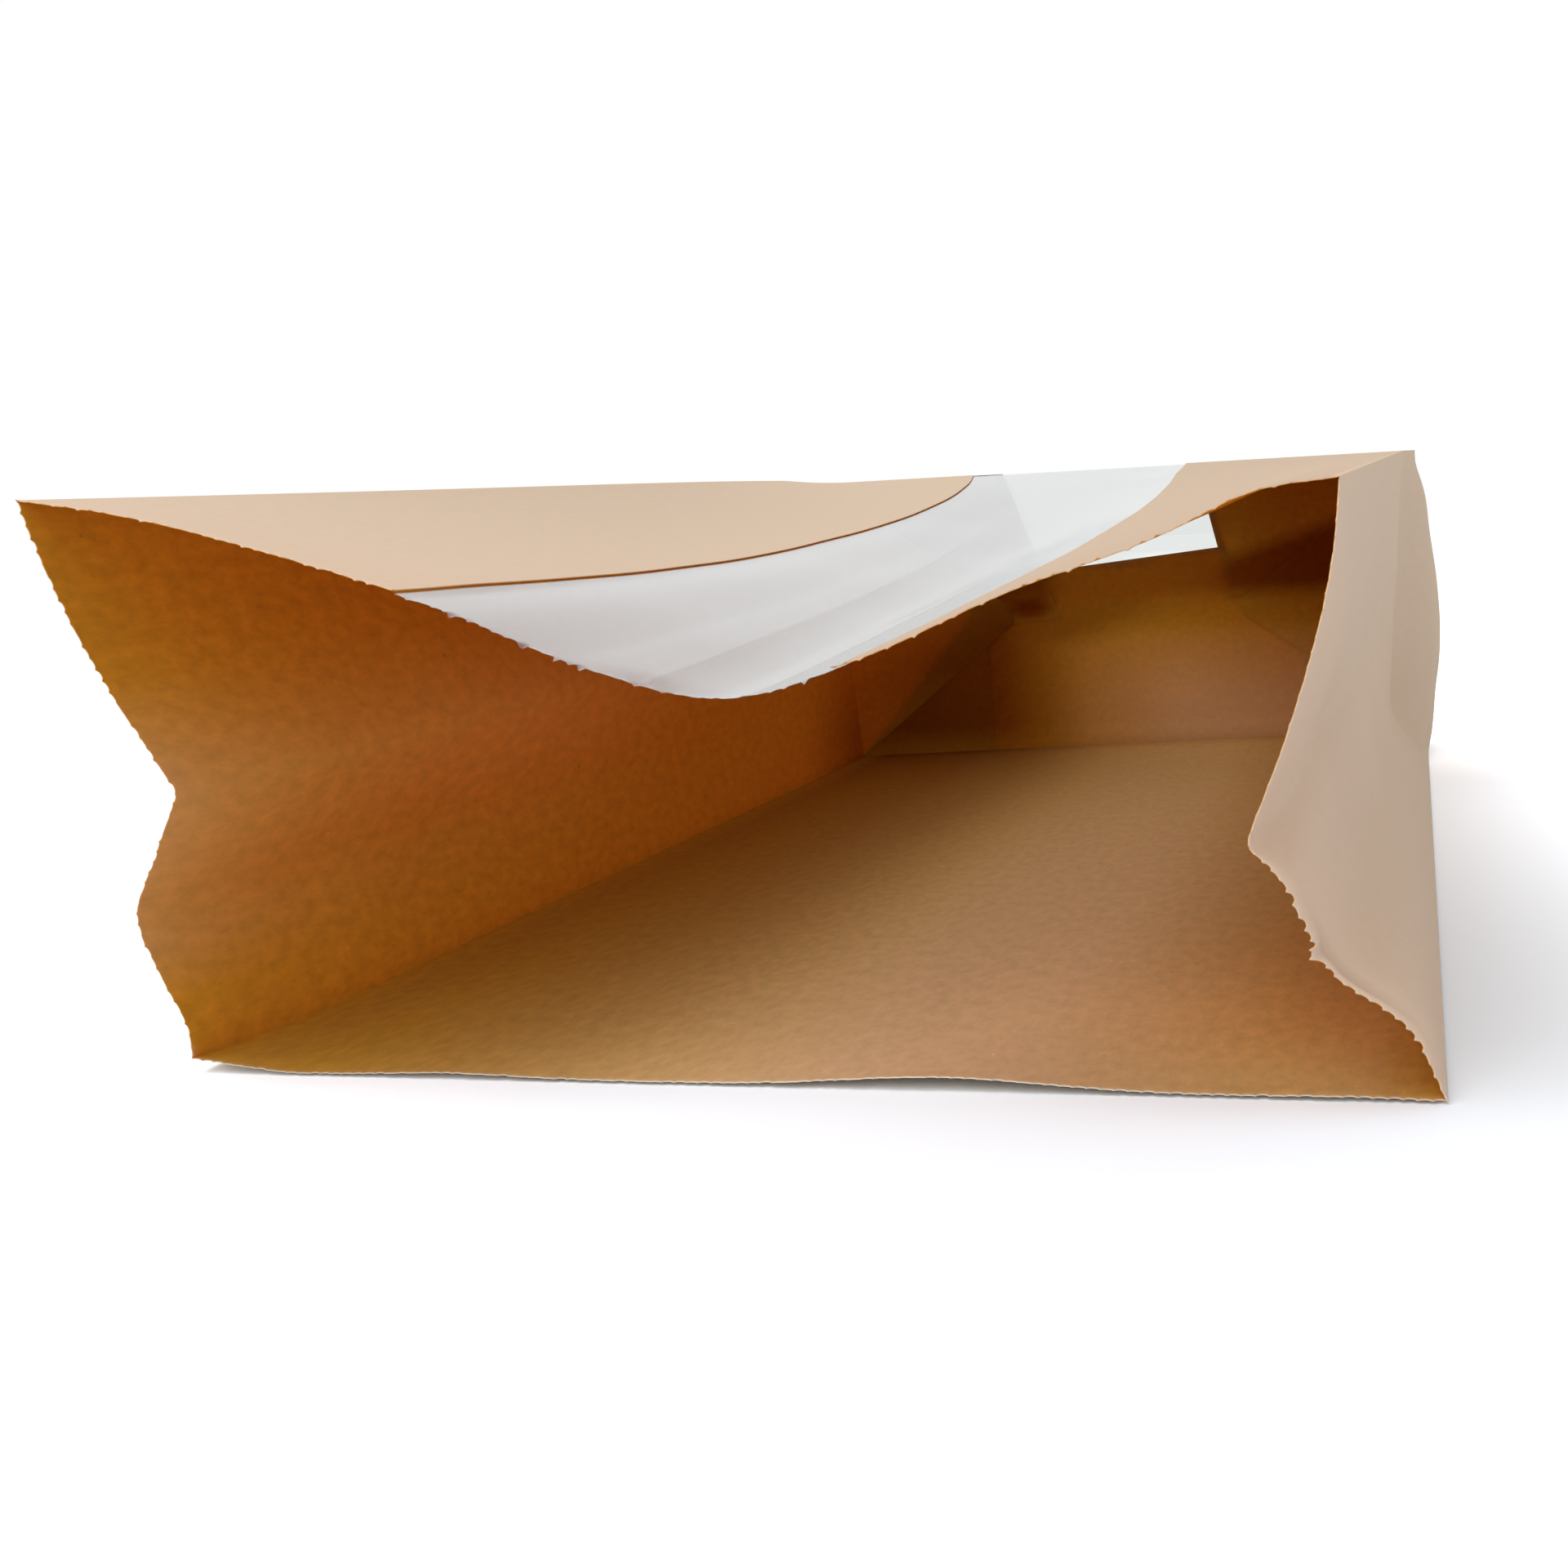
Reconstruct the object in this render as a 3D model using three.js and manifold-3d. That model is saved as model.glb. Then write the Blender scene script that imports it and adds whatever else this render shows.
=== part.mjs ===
// A kraft paper bread bag with two gussets, a block bottom and a film window. It lies open on its back
// panel with the mouth towards -Y and the window up. Millimetres; the origin is the middle of the back panel.
import * as THREE from "three";
import Module from "manifold-3d";
import { mergeVertices } from "three/addons/utils/BufferGeometryUtils.js";

// Driving dimensions of the folded sheet and the film
const BAG_WIDTH = 160; // front and back panel, fold to fold
const GUSSET_DEPTH = 80; // side gusset, fold to fold
const BAG_LENGTH = 350; // mouth to base fold
const PAPER = 0.12; // one ply
const FILM = 0.04;
const GLUE_GAP = 0.12; // between the film and the paper it is glued to
const WINDOW_FROM_FOLD = 47.5; // top left fold to the window
const WINDOW_WIDTH = 57;
const WINDOW_DRIFT = 12; // sideways run of the window down the front flap of the base
const FILM_LAP = 8; // film glued under the paper on each side of the window
const TOOTH_PITCH = 1.6; // serration of the mouth
const TOOTH_DEPTH = 0.5;
const BACK_FLAP = 53; // length of the back flap up the base
const FRONT_FLAP = 39; // length of the front flap down the base
const FLAP_SLANT = 0.1; // rise of the cut edges of both flaps per millimetre across

// How the opened bag has slumped
const BASE_LEAN = 8; // the top of the base leans towards the mouth
const BELLY = 7.5; // sag of the window panel between mouth and base
const FOLD_BOW = 1.8; // rise of the top left fold at mid length
const CORNER_LIFT = 2.3; // bottom left corner of the mouth, off the ground
const CORNER_REACH = 42; // length over which that corner comes back to the ground
const BASE_BULGE = 7.5; // outward bulge of the right gusset beside the base
const END_LEFT = -5; // shift of the base's top left corner from square
const END_RIGHT = -1.3; // shift of the base's top right corner from square

// Each row is a share of the panel and the shift of its edge from the square tube there, as x, y, z.
// Window panel at the mouth, from the left fold to the right fold
const TOP_MOUTH = [
  [0, -5.5, -16, -3.4],
  [0.06, -5.5, -15.3, -5.2],
  [0.25, -5.8, -13, -14.4],
  [0.45, -7.6, -10.5, -27],
  [0.56, -7.7, -9, -31.9],
  [0.66, -7.7, -8, -28.3],
  [0.77, -8.5, -6.7, -21.2],
  [0.87, -8.7, -5.6, -16.8],
  [0.95, -9.4, -4.6, -11.6],
  [1, -9.2, -4, -10.7],
];
// Left gusset at the mouth and at the crease of the block bottom, from the top fold to the back panel
const LEFT_MOUTH = [
  [0, -5.5, -16, -3.4],
  [0.08, -5, -14.6, -3.5],
  [0.3, 0.3, -11.5, -2.6],
  [0.5, 7.3, -8, -1.7],
  [0.63, 1.6, -6.1, 0],
  [0.75, -3.4, -4.3, 0.7],
  [0.86, -1.2, -2.3, 0.6],
  [0.96, 0.8, -0.5, 0.3],
  [1, 0, 0, 0],
];
const LEFT_CREASE = [
  [0, -5, 0, 0],
  [0.25, -3, 0, 0],
  [0.5, -1, 0, 0],
  [0.75, -0.6, 0, 0],
  [1, 0, 0, 0],
];
// Right gusset at the mouth and at the crease of the block bottom, from the top fold to the back panel
const RIGHT_MOUTH = [
  [0, -9.2, -4, -10.7],
  [0.07, -9.7, -4.3, -10.6],
  [0.35, -15.4, -5.4, -9.9],
  [0.5, -20.3, -6, -10.1],
  [0.575, -17.1, -5.2, -7.7],
  [0.67, -14.2, -4.1, -6.9],
  [0.76, -11.6, -3, -4.4],
  [0.88, -4.2, -1.5, -1],
  [1, 0, 0, 0],
];
const RIGHT_CREASE = [
  [0, -4.1, 0, -1.6],
  [0.33, -5.9, 0, -1],
  [0.5, -7.8, 0, -0.6],
  [0.7, -8.9, 0, -0.3],
  [0.83, -8.5, 0, 0],
  [1, 0, 0, 0],
];

const HALF = BAG_WIDTH / 2;
const FRONT = -BAG_LENGTH / 2;
const BACK = BAG_LENGTH / 2;
const CREASE = 1 - GUSSET_DEPTH / 2 / BAG_LENGTH; // share of the length where the base folds cross the gusset
const WINDOW_END = WINDOW_FROM_FOLD + WINDOW_WIDTH;

const vector = (x, y, z) => new THREE.Vector3(x, y, z);
const mix = (a, b, share) => a.clone().lerp(b, share);

// A point in the plane of the base, which leans towards the mouth as it rises
const onBase = (x, z) => vector(x, BACK - (BASE_LEAN * z) / GUSSET_DEPTH, z);
const END_TOP_LEFT = onBase(-HALF + END_LEFT, GUSSET_DEPTH);
const END_TOP_RIGHT = onBase(HALF + END_RIGHT, GUSSET_DEPTH - 0.8);
const END_LOW_LEFT = onBase(-HALF, 0);
const END_LOW_RIGHT = onBase(HALF, 0);

// A smooth edge through the square tube's edge shifted row by row, read by share of its length
function edge(rows, from, to) {
  const points = rows.map(([share, x, y, z]) => mix(from, to, share).add(vector(x, y, z)));
  const curve = new THREE.CatmullRomCurve3(points, false, "centripetal");
  return (share) => curve.getPointAt(THREE.MathUtils.clamp(share, 0, 1));
}

// The upper or lower half of a gusset edge: the rows above or below the middle crease
function halves(rows, from, to) {
  const upper = edge(rows.filter((row) => row[0] <= 0.5), from, to);
  const lower = edge(rows.filter((row) => row[0] >= 0.5), from, to);
  return (share) => (share <= 0.5 ? upper(2 * share) : lower(2 * share - 1));
}

// The square section at a share of the length, left or right side, top to bottom
function squareSide(side, along) {
  const y = FRONT + BAG_LENGTH * along;
  return [vector(side * HALF, y - BASE_LEAN * along, GUSSET_DEPTH), vector(side * HALF, y, 0)];
}

const topMouth = edge(TOP_MOUTH, vector(-HALF, FRONT, GUSSET_DEPTH), vector(HALF, FRONT, GUSSET_DEPTH));
const leftMouth = halves(LEFT_MOUTH, ...squareSide(-1, 0));
const rightMouth = halves(RIGHT_MOUTH, ...squareSide(1, 0));
const leftCrease = halves(LEFT_CREASE, ...squareSide(-1, CREASE));
const rightCrease = halves(RIGHT_CREASE, ...squareSide(1, CREASE));

const bow = (along) => FOLD_BOW * Math.sin(Math.PI * along);
const cornerLift = (along) => CORNER_LIFT * Math.max(0, 1 - (along * BAG_LENGTH) / CORNER_REACH) ** 2;

// Straight in two lengths: mouth to crease, crease to base fold
function ruled(mouth, crease, end, along) {
  if (along <= CREASE) return mix(mouth, crease, along / CREASE);
  return mix(crease, end, (along - CREASE) / (1 - CREASE));
}

function topPoint(across, along) {
  const leftFold = ruled(topMouth(0), leftCrease(0), END_TOP_LEFT, along);
  const rightFold = ruled(topMouth(1), rightCrease(0), END_TOP_RIGHT, along);
  const sag = topMouth(across).sub(mix(topMouth(0), topMouth(1), across)).multiplyScalar(1 - along);
  const point = mix(leftFold, rightFold, across).add(sag);
  point.z += bow(along) * (1 - across) ** 4;
  point.z -= BELLY * 9.48 * across * (1 - across) ** 3 * Math.sin(Math.PI * along);
  return point;
}

function leftPoint(down, along) {
  const end = mix(END_TOP_LEFT, END_LOW_LEFT, down);
  const point = ruled(leftMouth(down), leftCrease(down), end, along);
  point.z += bow(along) * (1 - down) ** 2 + cornerLift(along) * down ** 2;
  return point;
}

function rightPoint(down, along) {
  const end = mix(END_TOP_RIGHT, END_LOW_RIGHT, down);
  const point = ruled(rightMouth(down), rightCrease(down), end, along);
  const past = Math.max(0, (along - CREASE) / (1 - CREASE));
  point.x += BASE_BULGE * Math.sin(Math.PI * down) * Math.sin(Math.PI * past);
  return point;
}

function bottomPoint(across, along) {
  const lift = cornerLift(along) * Math.max(0, 1 - 10 * across) ** 2;
  return vector(-HALF + BAG_WIDTH * across, FRONT + BAG_LENGTH * along, lift);
}

// The outside of the bag at a distance round the sheet from the left edge of the window, and along it
const TURN_1 = WINDOW_FROM_FOLD;
const TURN_2 = TURN_1 + GUSSET_DEPTH;
const TURN_3 = TURN_2 + BAG_WIDTH;
const TURN_4 = TURN_3 + GUSSET_DEPTH;
const ROUND = TURN_4 + BAG_WIDTH - WINDOW_END;
function bagPoint(round, along) {
  const inside = Math.min(along, 1);
  let point;
  if (round <= TURN_1) point = topPoint((TURN_1 - round) / BAG_WIDTH, inside);
  else if (round <= TURN_2) point = leftPoint((round - TURN_1) / GUSSET_DEPTH, inside);
  else if (round <= TURN_3) point = bottomPoint((round - TURN_2) / BAG_WIDTH, inside);
  else if (round <= TURN_4) point = rightPoint((TURN_4 - round) / GUSSET_DEPTH, inside);
  else point = topPoint(1 - (round - TURN_4) / BAG_WIDTH, inside);
  point.y += (along - inside) * BAG_LENGTH;
  return point;
}

// The outward normal of a surface given round and along, from the steps to its neighbours
function normalOf(surface, round, along, least, most) {
  const before = Math.max(least, round - 0.3);
  const after = Math.min(most, round + 0.3);
  const acrossStep = surface(after, along).sub(surface(before, along));
  const alongStep = surface(round, Math.min(1, along + 0.002)).sub(surface(round, Math.max(0, along - 0.002)));
  return acrossStep.cross(alongStep).normalize().negate();
}

// A closed thin sheet: rows of [round, along] points, a skin on each face and a wall round the edge.
// Neighbouring rows may have different counts; they are joined in order of their place round the sheet.
function thinSheet(rows, outer, inner) {
  const places = [];
  const faces = [];
  const starts = [];
  for (const row of rows) {
    starts.push(places.length);
    places.push(...row);
  }
  for (let r = 0; r + 1 < rows.length; r += 1) {
    const near = rows[r];
    const far = rows[r + 1];
    let i = 0;
    let j = 0;
    while (i + 1 < near.length || j + 1 < far.length) {
      const nextNear = i + 1 < near.length ? (near[i + 1][0] - near[0][0]) / (near.at(-1)[0] - near[0][0]) : 2;
      const nextFar = j + 1 < far.length ? (far[j + 1][0] - far[0][0]) / (far.at(-1)[0] - far[0][0]) : 2;
      if (nextNear < nextFar) {
        faces.push([starts[r] + i, starts[r] + i + 1, starts[r + 1] + j]);
        i += 1;
      } else {
        faces.push([starts[r] + i, starts[r + 1] + j + 1, starts[r + 1] + j]);
        j += 1;
      }
    }
  }
  const count = places.length;
  const position = [];
  for (const skin of [outer, inner]) for (const place of places) position.push(...skin(...place).toArray());
  const index = [];
  for (const [a, b, c] of faces) index.push(a, c, b, count + a, count + b, count + c);
  const last = rows.length - 1;
  const rim = [];
  for (let i = 0; i < rows[0].length; i += 1) rim.push(starts[0] + i);
  for (let r = 1; r <= last; r += 1) rim.push(starts[r] + rows[r].length - 1);
  for (let i = rows[last].length - 2; i >= 0; i -= 1) rim.push(starts[last] + i);
  for (let r = last - 1; r > 0; r -= 1) rim.push(starts[r]);
  rim.forEach((a, k) => {
    const b = rim[(k + 1) % rim.length];
    index.push(a, b, count + a, b, count + b, count + a);
  });
  const geometry = new THREE.BufferGeometry();
  geometry.setAttribute("position", new THREE.Float32BufferAttribute(position, 3));
  geometry.setIndex(index);
  return geometry;
}

// Evenly spaced places between two bounds, without the first
function steps(from, to, count) {
  return Array.from({ length: count }, (_, k) => from + ((to - from) * (k + 1)) / count);
}

// The serrated edge between two places round the sheet: tips at the mouth, notches a tooth deep
function teeth(from, to) {
  const count = 2 * Math.round((to - from) / TOOTH_PITCH);
  return [from, ...steps(from, to, count)].map((round, k) => [round, k % 2 ? TOOTH_DEPTH / BAG_LENGTH : 0]);
}

const ROWS = [
  2.2 / BAG_LENGTH,
  ...[0.02, 0.045, 0.08, 0.12, 0.17, 0.23, 0.3, 0.38, 0.46, 0.54, 0.62, 0.7, 0.78, 0.84],
  CREASE,
  ...[0.92, 0.955, 0.985, 1],
];

// The paper tube, open at the window, its end standing most of a ply into the base
const columns = [
  0,
  ...steps(0, FILM_LAP, 2),
  ...steps(FILM_LAP, TURN_1 - 4, 4),
  ...steps(TURN_1 - 4, TURN_1, 1),
  ...steps(TURN_1, TURN_1 + GUSSET_DEPTH / 2, 5),
  ...steps(TURN_1 + GUSSET_DEPTH / 2, TURN_2, 8),
  ...steps(TURN_2, TURN_2 + 0.1 * BAG_WIDTH, 3),
  ...steps(TURN_2 + 0.1 * BAG_WIDTH, TURN_3, 5),
  ...steps(TURN_3, TURN_3 + GUSSET_DEPTH / 2, 8),
  ...steps(TURN_3 + GUSSET_DEPTH / 2, TURN_4, 5),
  ...steps(TURN_4, TURN_4 + 4, 1),
  ...steps(TURN_4 + 4, ROUND - FILM_LAP, 4),
  ...steps(ROUND - FILM_LAP, ROUND, 2),
];
const outside = (round, along) => bagPoint(round, along);
const insideOf = (round, along) =>
  bagPoint(round, along).addScaledVector(normalOf(bagPoint, round, along, 0, ROUND), -PAPER);
const tubeRows = [teeth(0, ROUND)];
for (const along of [...ROWS, 1 + (0.8 * PAPER) / BAG_LENGTH]) {
  tubeRows.push(columns.map((round) => [round, along]));
}
const tube = thinSheet(tubeRows, outside, insideOf);

// The base: plies cut to shape in its plane, each given by corners across and up from the back panel
const baseUp = vector(0, -BASE_LEAN, GUSSET_DEPTH).normalize();
const baseOut = vector(0, GUSSET_DEPTH, BASE_LEAN).normalize();
const BASE_HEIGHT = Math.hypot(BASE_LEAN, GUSSET_DEPTH);
const SEAT = PAPER / 3; // the plies end inside the thickness of the tube
const sideAt = (side, up) => {
  const [low, high] = side < 0 ? [END_LOW_LEFT, END_TOP_LEFT] : [END_LOW_RIGHT, END_TOP_RIGHT];
  return low.x + ((high.x - low.x) * up) / BASE_HEIGHT - side * SEAT;
};
const topAt = (x) => {
  const share = (x - END_TOP_LEFT.x) / (END_TOP_RIGHT.x - END_TOP_LEFT.x);
  return ((END_TOP_LEFT.z + (END_TOP_RIGHT.z - END_TOP_LEFT.z) * share) * BASE_HEIGHT) / GUSSET_DEPTH - SEAT;
};
const backCut = (x) => BACK_FLAP + FLAP_SLANT * x;
const frontCut = (x) => BASE_HEIGHT - FRONT_FLAP + FLAP_SLANT * x;
const windowAt = (along) => topPoint(along / BAG_WIDTH, 1).x;
const windowLeft = windowAt(WINDOW_FROM_FOLD);
const windowRight = windowAt(WINDOW_END);
const drift = (up) => (WINDOW_DRIFT * (BASE_HEIGHT - up)) / FRONT_FLAP;

function ply(corners, plies) {
  const shape = new THREE.Shape(corners.map(([x, up]) => new THREE.Vector2(x, up)));
  const geometry = new THREE.ExtrudeGeometry(shape, { depth: plies * PAPER, bevelEnabled: false });
  const place = new THREE.Matrix4().makeBasis(vector(1, 0, 0), baseUp, baseOut.clone().negate());
  place.setPosition(vector(0, BACK, 0).addScaledVector(baseOut, plies * PAPER));
  geometry.applyMatrix4(place);
  return geometry;
}

// One half of the front flap beside the window: its glued ply and the fold over it, whose slanted side runs
// from the corner to the cut edge, or to the window where that comes first
function frontHalf(side, windowX) {
  const low = frontCut(windowX) - 2;
  const cornerX = sideAt(side, BASE_HEIGHT);
  const inner = windowX + drift(low);
  const cut = frontCut(inner);
  const meet = cornerX - side * (BASE_HEIGHT - cut);
  const wall = [
    [sideAt(side, low), low],
    [inner, low],
    [windowX, topAt(windowX)],
    [cornerX, topAt(cornerX)],
  ];
  const fall = (cornerX - windowX) / (side + WINDOW_DRIFT / FRONT_FLAP);
  const foot =
    fall > BASE_HEIGHT - cut
      ? [
          [meet, frontCut(meet)],
          [windowX + drift(cut), cut],
        ]
      : [[cornerX - side * fall, BASE_HEIGHT - fall]];
  const fold = [...foot, [windowX, topAt(windowX)], [cornerX, topAt(cornerX)]];
  const order = (corners) => (side < 0 ? corners : corners.reverse());
  return [ply(order(wall), 1), ply(order(fold), 2)];
}

const lowLeft = sideAt(-1, 0);
const lowRight = sideAt(1, 0);
const plies = [
  ply(
    [
      [lowLeft, SEAT],
      [lowRight, SEAT],
      [sideAt(1, BACK_FLAP), backCut(HALF)],
      [sideAt(-1, BACK_FLAP), backCut(-HALF)],
    ],
    1,
  ),
  ply(
    [
      [lowLeft, SEAT],
      [lowRight, SEAT],
      [lowRight - BACK_FLAP, backCut(HALF - BACK_FLAP)],
      [lowLeft + BACK_FLAP, backCut(BACK_FLAP - HALF)],
    ],
    3,
  ),
  ...frontHalf(-1, windowLeft),
  ...frontHalf(1, windowRight),
];

// The film: under the paper along the window panel, then down inside the base to the end of the front flap
const filmDepth = PAPER + GLUE_GAP;
const FILM_TURN = 1 - (2 * filmDepth) / BAG_LENGTH;
const FILM_END = 1 + FRONT_FLAP / BAG_LENGTH;
const windowPanel = (round, along) => topPoint(round / BAG_WIDTH, along);
function filmPoint(round, along, below) {
  if (along < 1) {
    const normal = normalOf(windowPanel, round, along, 0, BAG_WIDTH).negate();
    return windowPanel(round, along).addScaledVector(normal, -filmDepth - below);
  }
  const top = windowAt(round);
  const up = topAt(top) - (along - 1) * BAG_LENGTH - 2 * filmDepth;
  return vector(top + drift(up), BACK, 0)
    .addScaledVector(baseUp, up)
    .addScaledVector(baseOut, -GLUE_GAP - below);
}
const filmFrom = WINDOW_FROM_FOLD - FILM_LAP;
const filmTo = WINDOW_END + FILM_LAP;
const filmColumns = [
  filmFrom,
  ...steps(filmFrom, WINDOW_FROM_FOLD, 2),
  ...steps(WINDOW_FROM_FOLD, WINDOW_END, 7),
  ...steps(WINDOW_END, filmTo, 2),
];
const filmRows = [teeth(filmFrom, filmTo)];
for (const along of [...ROWS.slice(0, -1), FILM_TURN, 1, ...steps(1, FILM_END, 5)]) {
  filmRows.push(filmColumns.map((round) => [round, along]));
}
const film = thinSheet(
  filmRows,
  (round, along) => filmPoint(round, along, FILM),
  (round, along) => filmPoint(round, along, 0),
);

// The glued plies are one piece of paper
const wasm = await Module();
wasm.setup();
function solid(geometry) {
  const bare = new THREE.BufferGeometry();
  const flat = geometry.index ? geometry.toNonIndexed() : geometry;
  bare.setAttribute("position", flat.getAttribute("position"));
  const merged = mergeVertices(bare, 1e-3);
  return new wasm.Manifold(
    new wasm.Mesh({
      numProp: 3,
      vertProperties: merged.attributes.position.array,
      triVerts: new Uint32Array(merged.index.array),
    }),
  );
}
function geometryOf(body) {
  const mesh = body.getMesh();
  const geometry = new THREE.BufferGeometry();
  geometry.setAttribute("position", new THREE.BufferAttribute(new Float32Array(mesh.vertProperties), 3));
  geometry.setIndex(new THREE.BufferAttribute(new Uint32Array(mesh.triVerts), 1));
  const facets = geometry.toNonIndexed();
  facets.computeVertexNormals();
  return facets;
}
const paperBody = wasm.Manifold.union([tube, ...plies].map(solid));

const kraft = new THREE.MeshStandardMaterial({ name: "kraft_paper", color: 0xc7a27a, roughness: 0.85 });
const clear = new THREE.MeshStandardMaterial({
  name: "clear_film",
  color: 0xe6e6e2,
  roughness: 0.25,
  transparent: true,
  opacity: 0.4,
});

const bag = new THREE.Group();
bag.name = "paper_bread_bag";
const paperMesh = new THREE.Mesh(geometryOf(paperBody), kraft);
paperMesh.name = "paper_bag";
const filmMesh = new THREE.Mesh(geometryOf(solid(film)), clear);
filmMesh.name = "window_film";
bag.add(paperMesh, filmMesh);

export default bag;
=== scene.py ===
"""A kraft paper bread bag with a film window, lying open on its back panel on a white floor.

Every surface is worked out in millimetres in the part's frame (x across the bag, the mouth towards -y, z up
from the floor) and goes into the meshes in metres.
"""

import bpy
import numpy as np
from mathutils import Matrix


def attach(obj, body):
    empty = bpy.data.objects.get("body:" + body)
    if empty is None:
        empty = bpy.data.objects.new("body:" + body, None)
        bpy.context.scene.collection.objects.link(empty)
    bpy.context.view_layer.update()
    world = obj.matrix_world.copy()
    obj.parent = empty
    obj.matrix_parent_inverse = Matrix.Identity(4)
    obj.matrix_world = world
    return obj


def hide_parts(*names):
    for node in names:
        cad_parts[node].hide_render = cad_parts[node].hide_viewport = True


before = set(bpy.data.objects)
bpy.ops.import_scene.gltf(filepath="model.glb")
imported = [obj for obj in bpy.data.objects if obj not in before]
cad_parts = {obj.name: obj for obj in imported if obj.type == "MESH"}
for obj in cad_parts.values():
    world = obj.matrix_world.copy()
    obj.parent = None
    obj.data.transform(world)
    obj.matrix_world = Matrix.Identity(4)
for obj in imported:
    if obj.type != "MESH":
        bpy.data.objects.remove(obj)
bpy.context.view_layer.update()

# Sizes of the folded sheet and the film, in millimetres
BAG_WIDTH = 160.0
GUSSET_DEPTH = 80.0
BAG_LENGTH = 350.0
PAPER = 0.16  # one ply, drawn a little thick so that its cut edge shows
FILM = 0.05
GLUE_GAP = 0.12
PLY_STEP = 0.22  # from one ply of the base to the next
WINDOW_FROM_FOLD = 47.5
WINDOW_WIDTH = 57.0
FILM_LAP = 8.0
FILM_DROP = 38.5  # how far the film goes down behind the base's front flap
TOOTH_PITCH = 1.6
TOOTH_STEPS = 4  # columns of the mesh to one tooth of the cut
CUT_REACH = 2.6  # how far into the sheet the rows follow the teeth
BEND_REACH = 1.1  # how far into the sheet the teeth are bent
EDGE_FADE = 0.4  # how far the pale cut edge reaches into the sheet
MM_PER_METRE = 1000

# How the opened bag has slumped, in millimetres
BASE_LEAN = 8.0
BELLY = 7.5
FOLD_BOW = 0.5
CORNER_LIFT = 1.7
CORNER_REACH = 42.0
BASE_BULGE = 8.3
SHOULDER_BULGE = 1.4
EDGE_CURL = 1.3
EDGE_CRUMPLE = 1.8
EDGE_NICK = 1.5
END_LIFT = 3.5
END_LEFT = -5.0
END_LEFT_RISE = 1.0
END_RIGHT = -1.3
END_RIGHT_DROP = -0.8
RIGHT_SPREAD = 0.45

# Form of the bulges, creases, waves and base plies, as plain numbers and shares
BELLY_SCALE = 9.48  # brings the crest of the belly's curve to 1
BULGE_SKEW = 1.45
BULGE_FLATNESS = 0.8
GUSSET_MIDDLE = 0.5
CREASE_ROUNDING = 0.012
RIGHT_WAVES = 1.6
WINDOW_WAVES = 0.25
CORNER_SHARPNESS = 1.3
PLY_RISE = 0.12  # share of a ply's run over which it comes up to its depth
PLY_LINES = 25  # lines of a ply's mesh each way
PLY_RIM = 0.003

HALF = BAG_WIDTH / 2
FRONT = -BAG_LENGTH / 2
BACK = BAG_LENGTH / 2
CREASE = 1 - GUSSET_DEPTH / 2 / BAG_LENGTH
WINDOW_END = WINDOW_FROM_FOLD + WINDOW_WIDTH
OUTWARD = np.array([0, GUSSET_DEPTH, BASE_LEAN]) / np.hypot(GUSSET_DEPTH, BASE_LEAN)

# Each row is a share of the panel and the shift of its edge from the square tube there, as x, y, z
WINDOW_PANEL_MOUTH = np.array([
    [0, -6.3, -16, -3.4],
    [0.06, -6, -15.3, -5.2],
    [0.25, -5.8, -13, -14.2],
    [0.35, -6.7, -11.8, -19.7],
    [0.45, -7.6, -10.5, -26.7],
    [0.56, -7.7, -9, -31.4],
    [0.66, -7.7, -8, -27.7],
    [0.77, -8.5, -6.7, -21.2],
    [0.87, -8.7, -5.6, -16.3],
    [0.95, -9.4, -4.6, -11.5],
    [1, -9.2, -4, -10.7],
])
LEFT_MOUTH = np.array([
    [0, -6.3, -16, -3.4],
    [0.08, -5.2, -14.6, -3.5],
    [0.3, 0.2, -11.5, -2.6],
    [0.5, 7.0, -8, -1.7],
    [0.63, 1.6, -6.1, 0],
    [0.75, -3.4, -4.3, 0.7],
    [0.86, -1.8, -2.3, 0.6],
    [0.96, 0.2, -0.5, 0.3],
    [1, 0, 0, 0],
])
LEFT_CREASE = np.array([
    [0, -5, 0, 1.2],
    [0.25, -3, 0, 0],
    [0.5, -1, 0, 0],
    [0.75, -0.6, 0, 0],
    [1, 0, 0, 0],
])
RIGHT_MOUTH = np.array([
    [0, -9.2, -4, -10.7],
    [0.07, -9.7, -4.3, -10.6],
    [0.35, -15.4, -5.4, -9.9],
    [0.5, -20.3, -6, -10.1],
    [0.575, -17.1, -5.2, -7.7],
    [0.67, -14.2, -4.1, -6.9],
    [0.76, -11.6, -3, -4.4],
    [0.88, -4.2, -1.5, -1],
    [1, 0, 0, 0],
])
RIGHT_CREASE = np.array([
    [0, -4.1, 0, -1.6],
    [0.33, -5.9, 0, -1],
    [0.5, -7.8, 0, -0.6],
    [0.7, -8.9, 0, -0.3],
    [0.83, -8.5, 0, 0],
    [1, 0, 0, 0],
])

# Slight waves of a panel: height, length across and along it in millimetres, and how often its phase counts
COCKLE_WAVES = ((0.22, 61, 140, 1), (0.16, -95, 83, 3), (0.08, 53, 41, 5))

# Waves in the bottom's cut edge: height, place across and reach, in millimetres
EDGE_RIPPLES = ((1.4, 23, 17), (0.5, -42, 12), (0.2, 68, 8))
RIPPLE_REACH = 9.0

# Rows of the mesh, in millimetres in from the mouth
FINE_ROWS = np.array([0, 0.25, 0.6, 1.1, 1.8, 2.8])
COARSE_ROWS = np.concatenate([[4.2, 6, 8.5, 12.5], np.arange(17, BAG_LENGTH - 4, 5.5), [BAG_LENGTH]])

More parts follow.
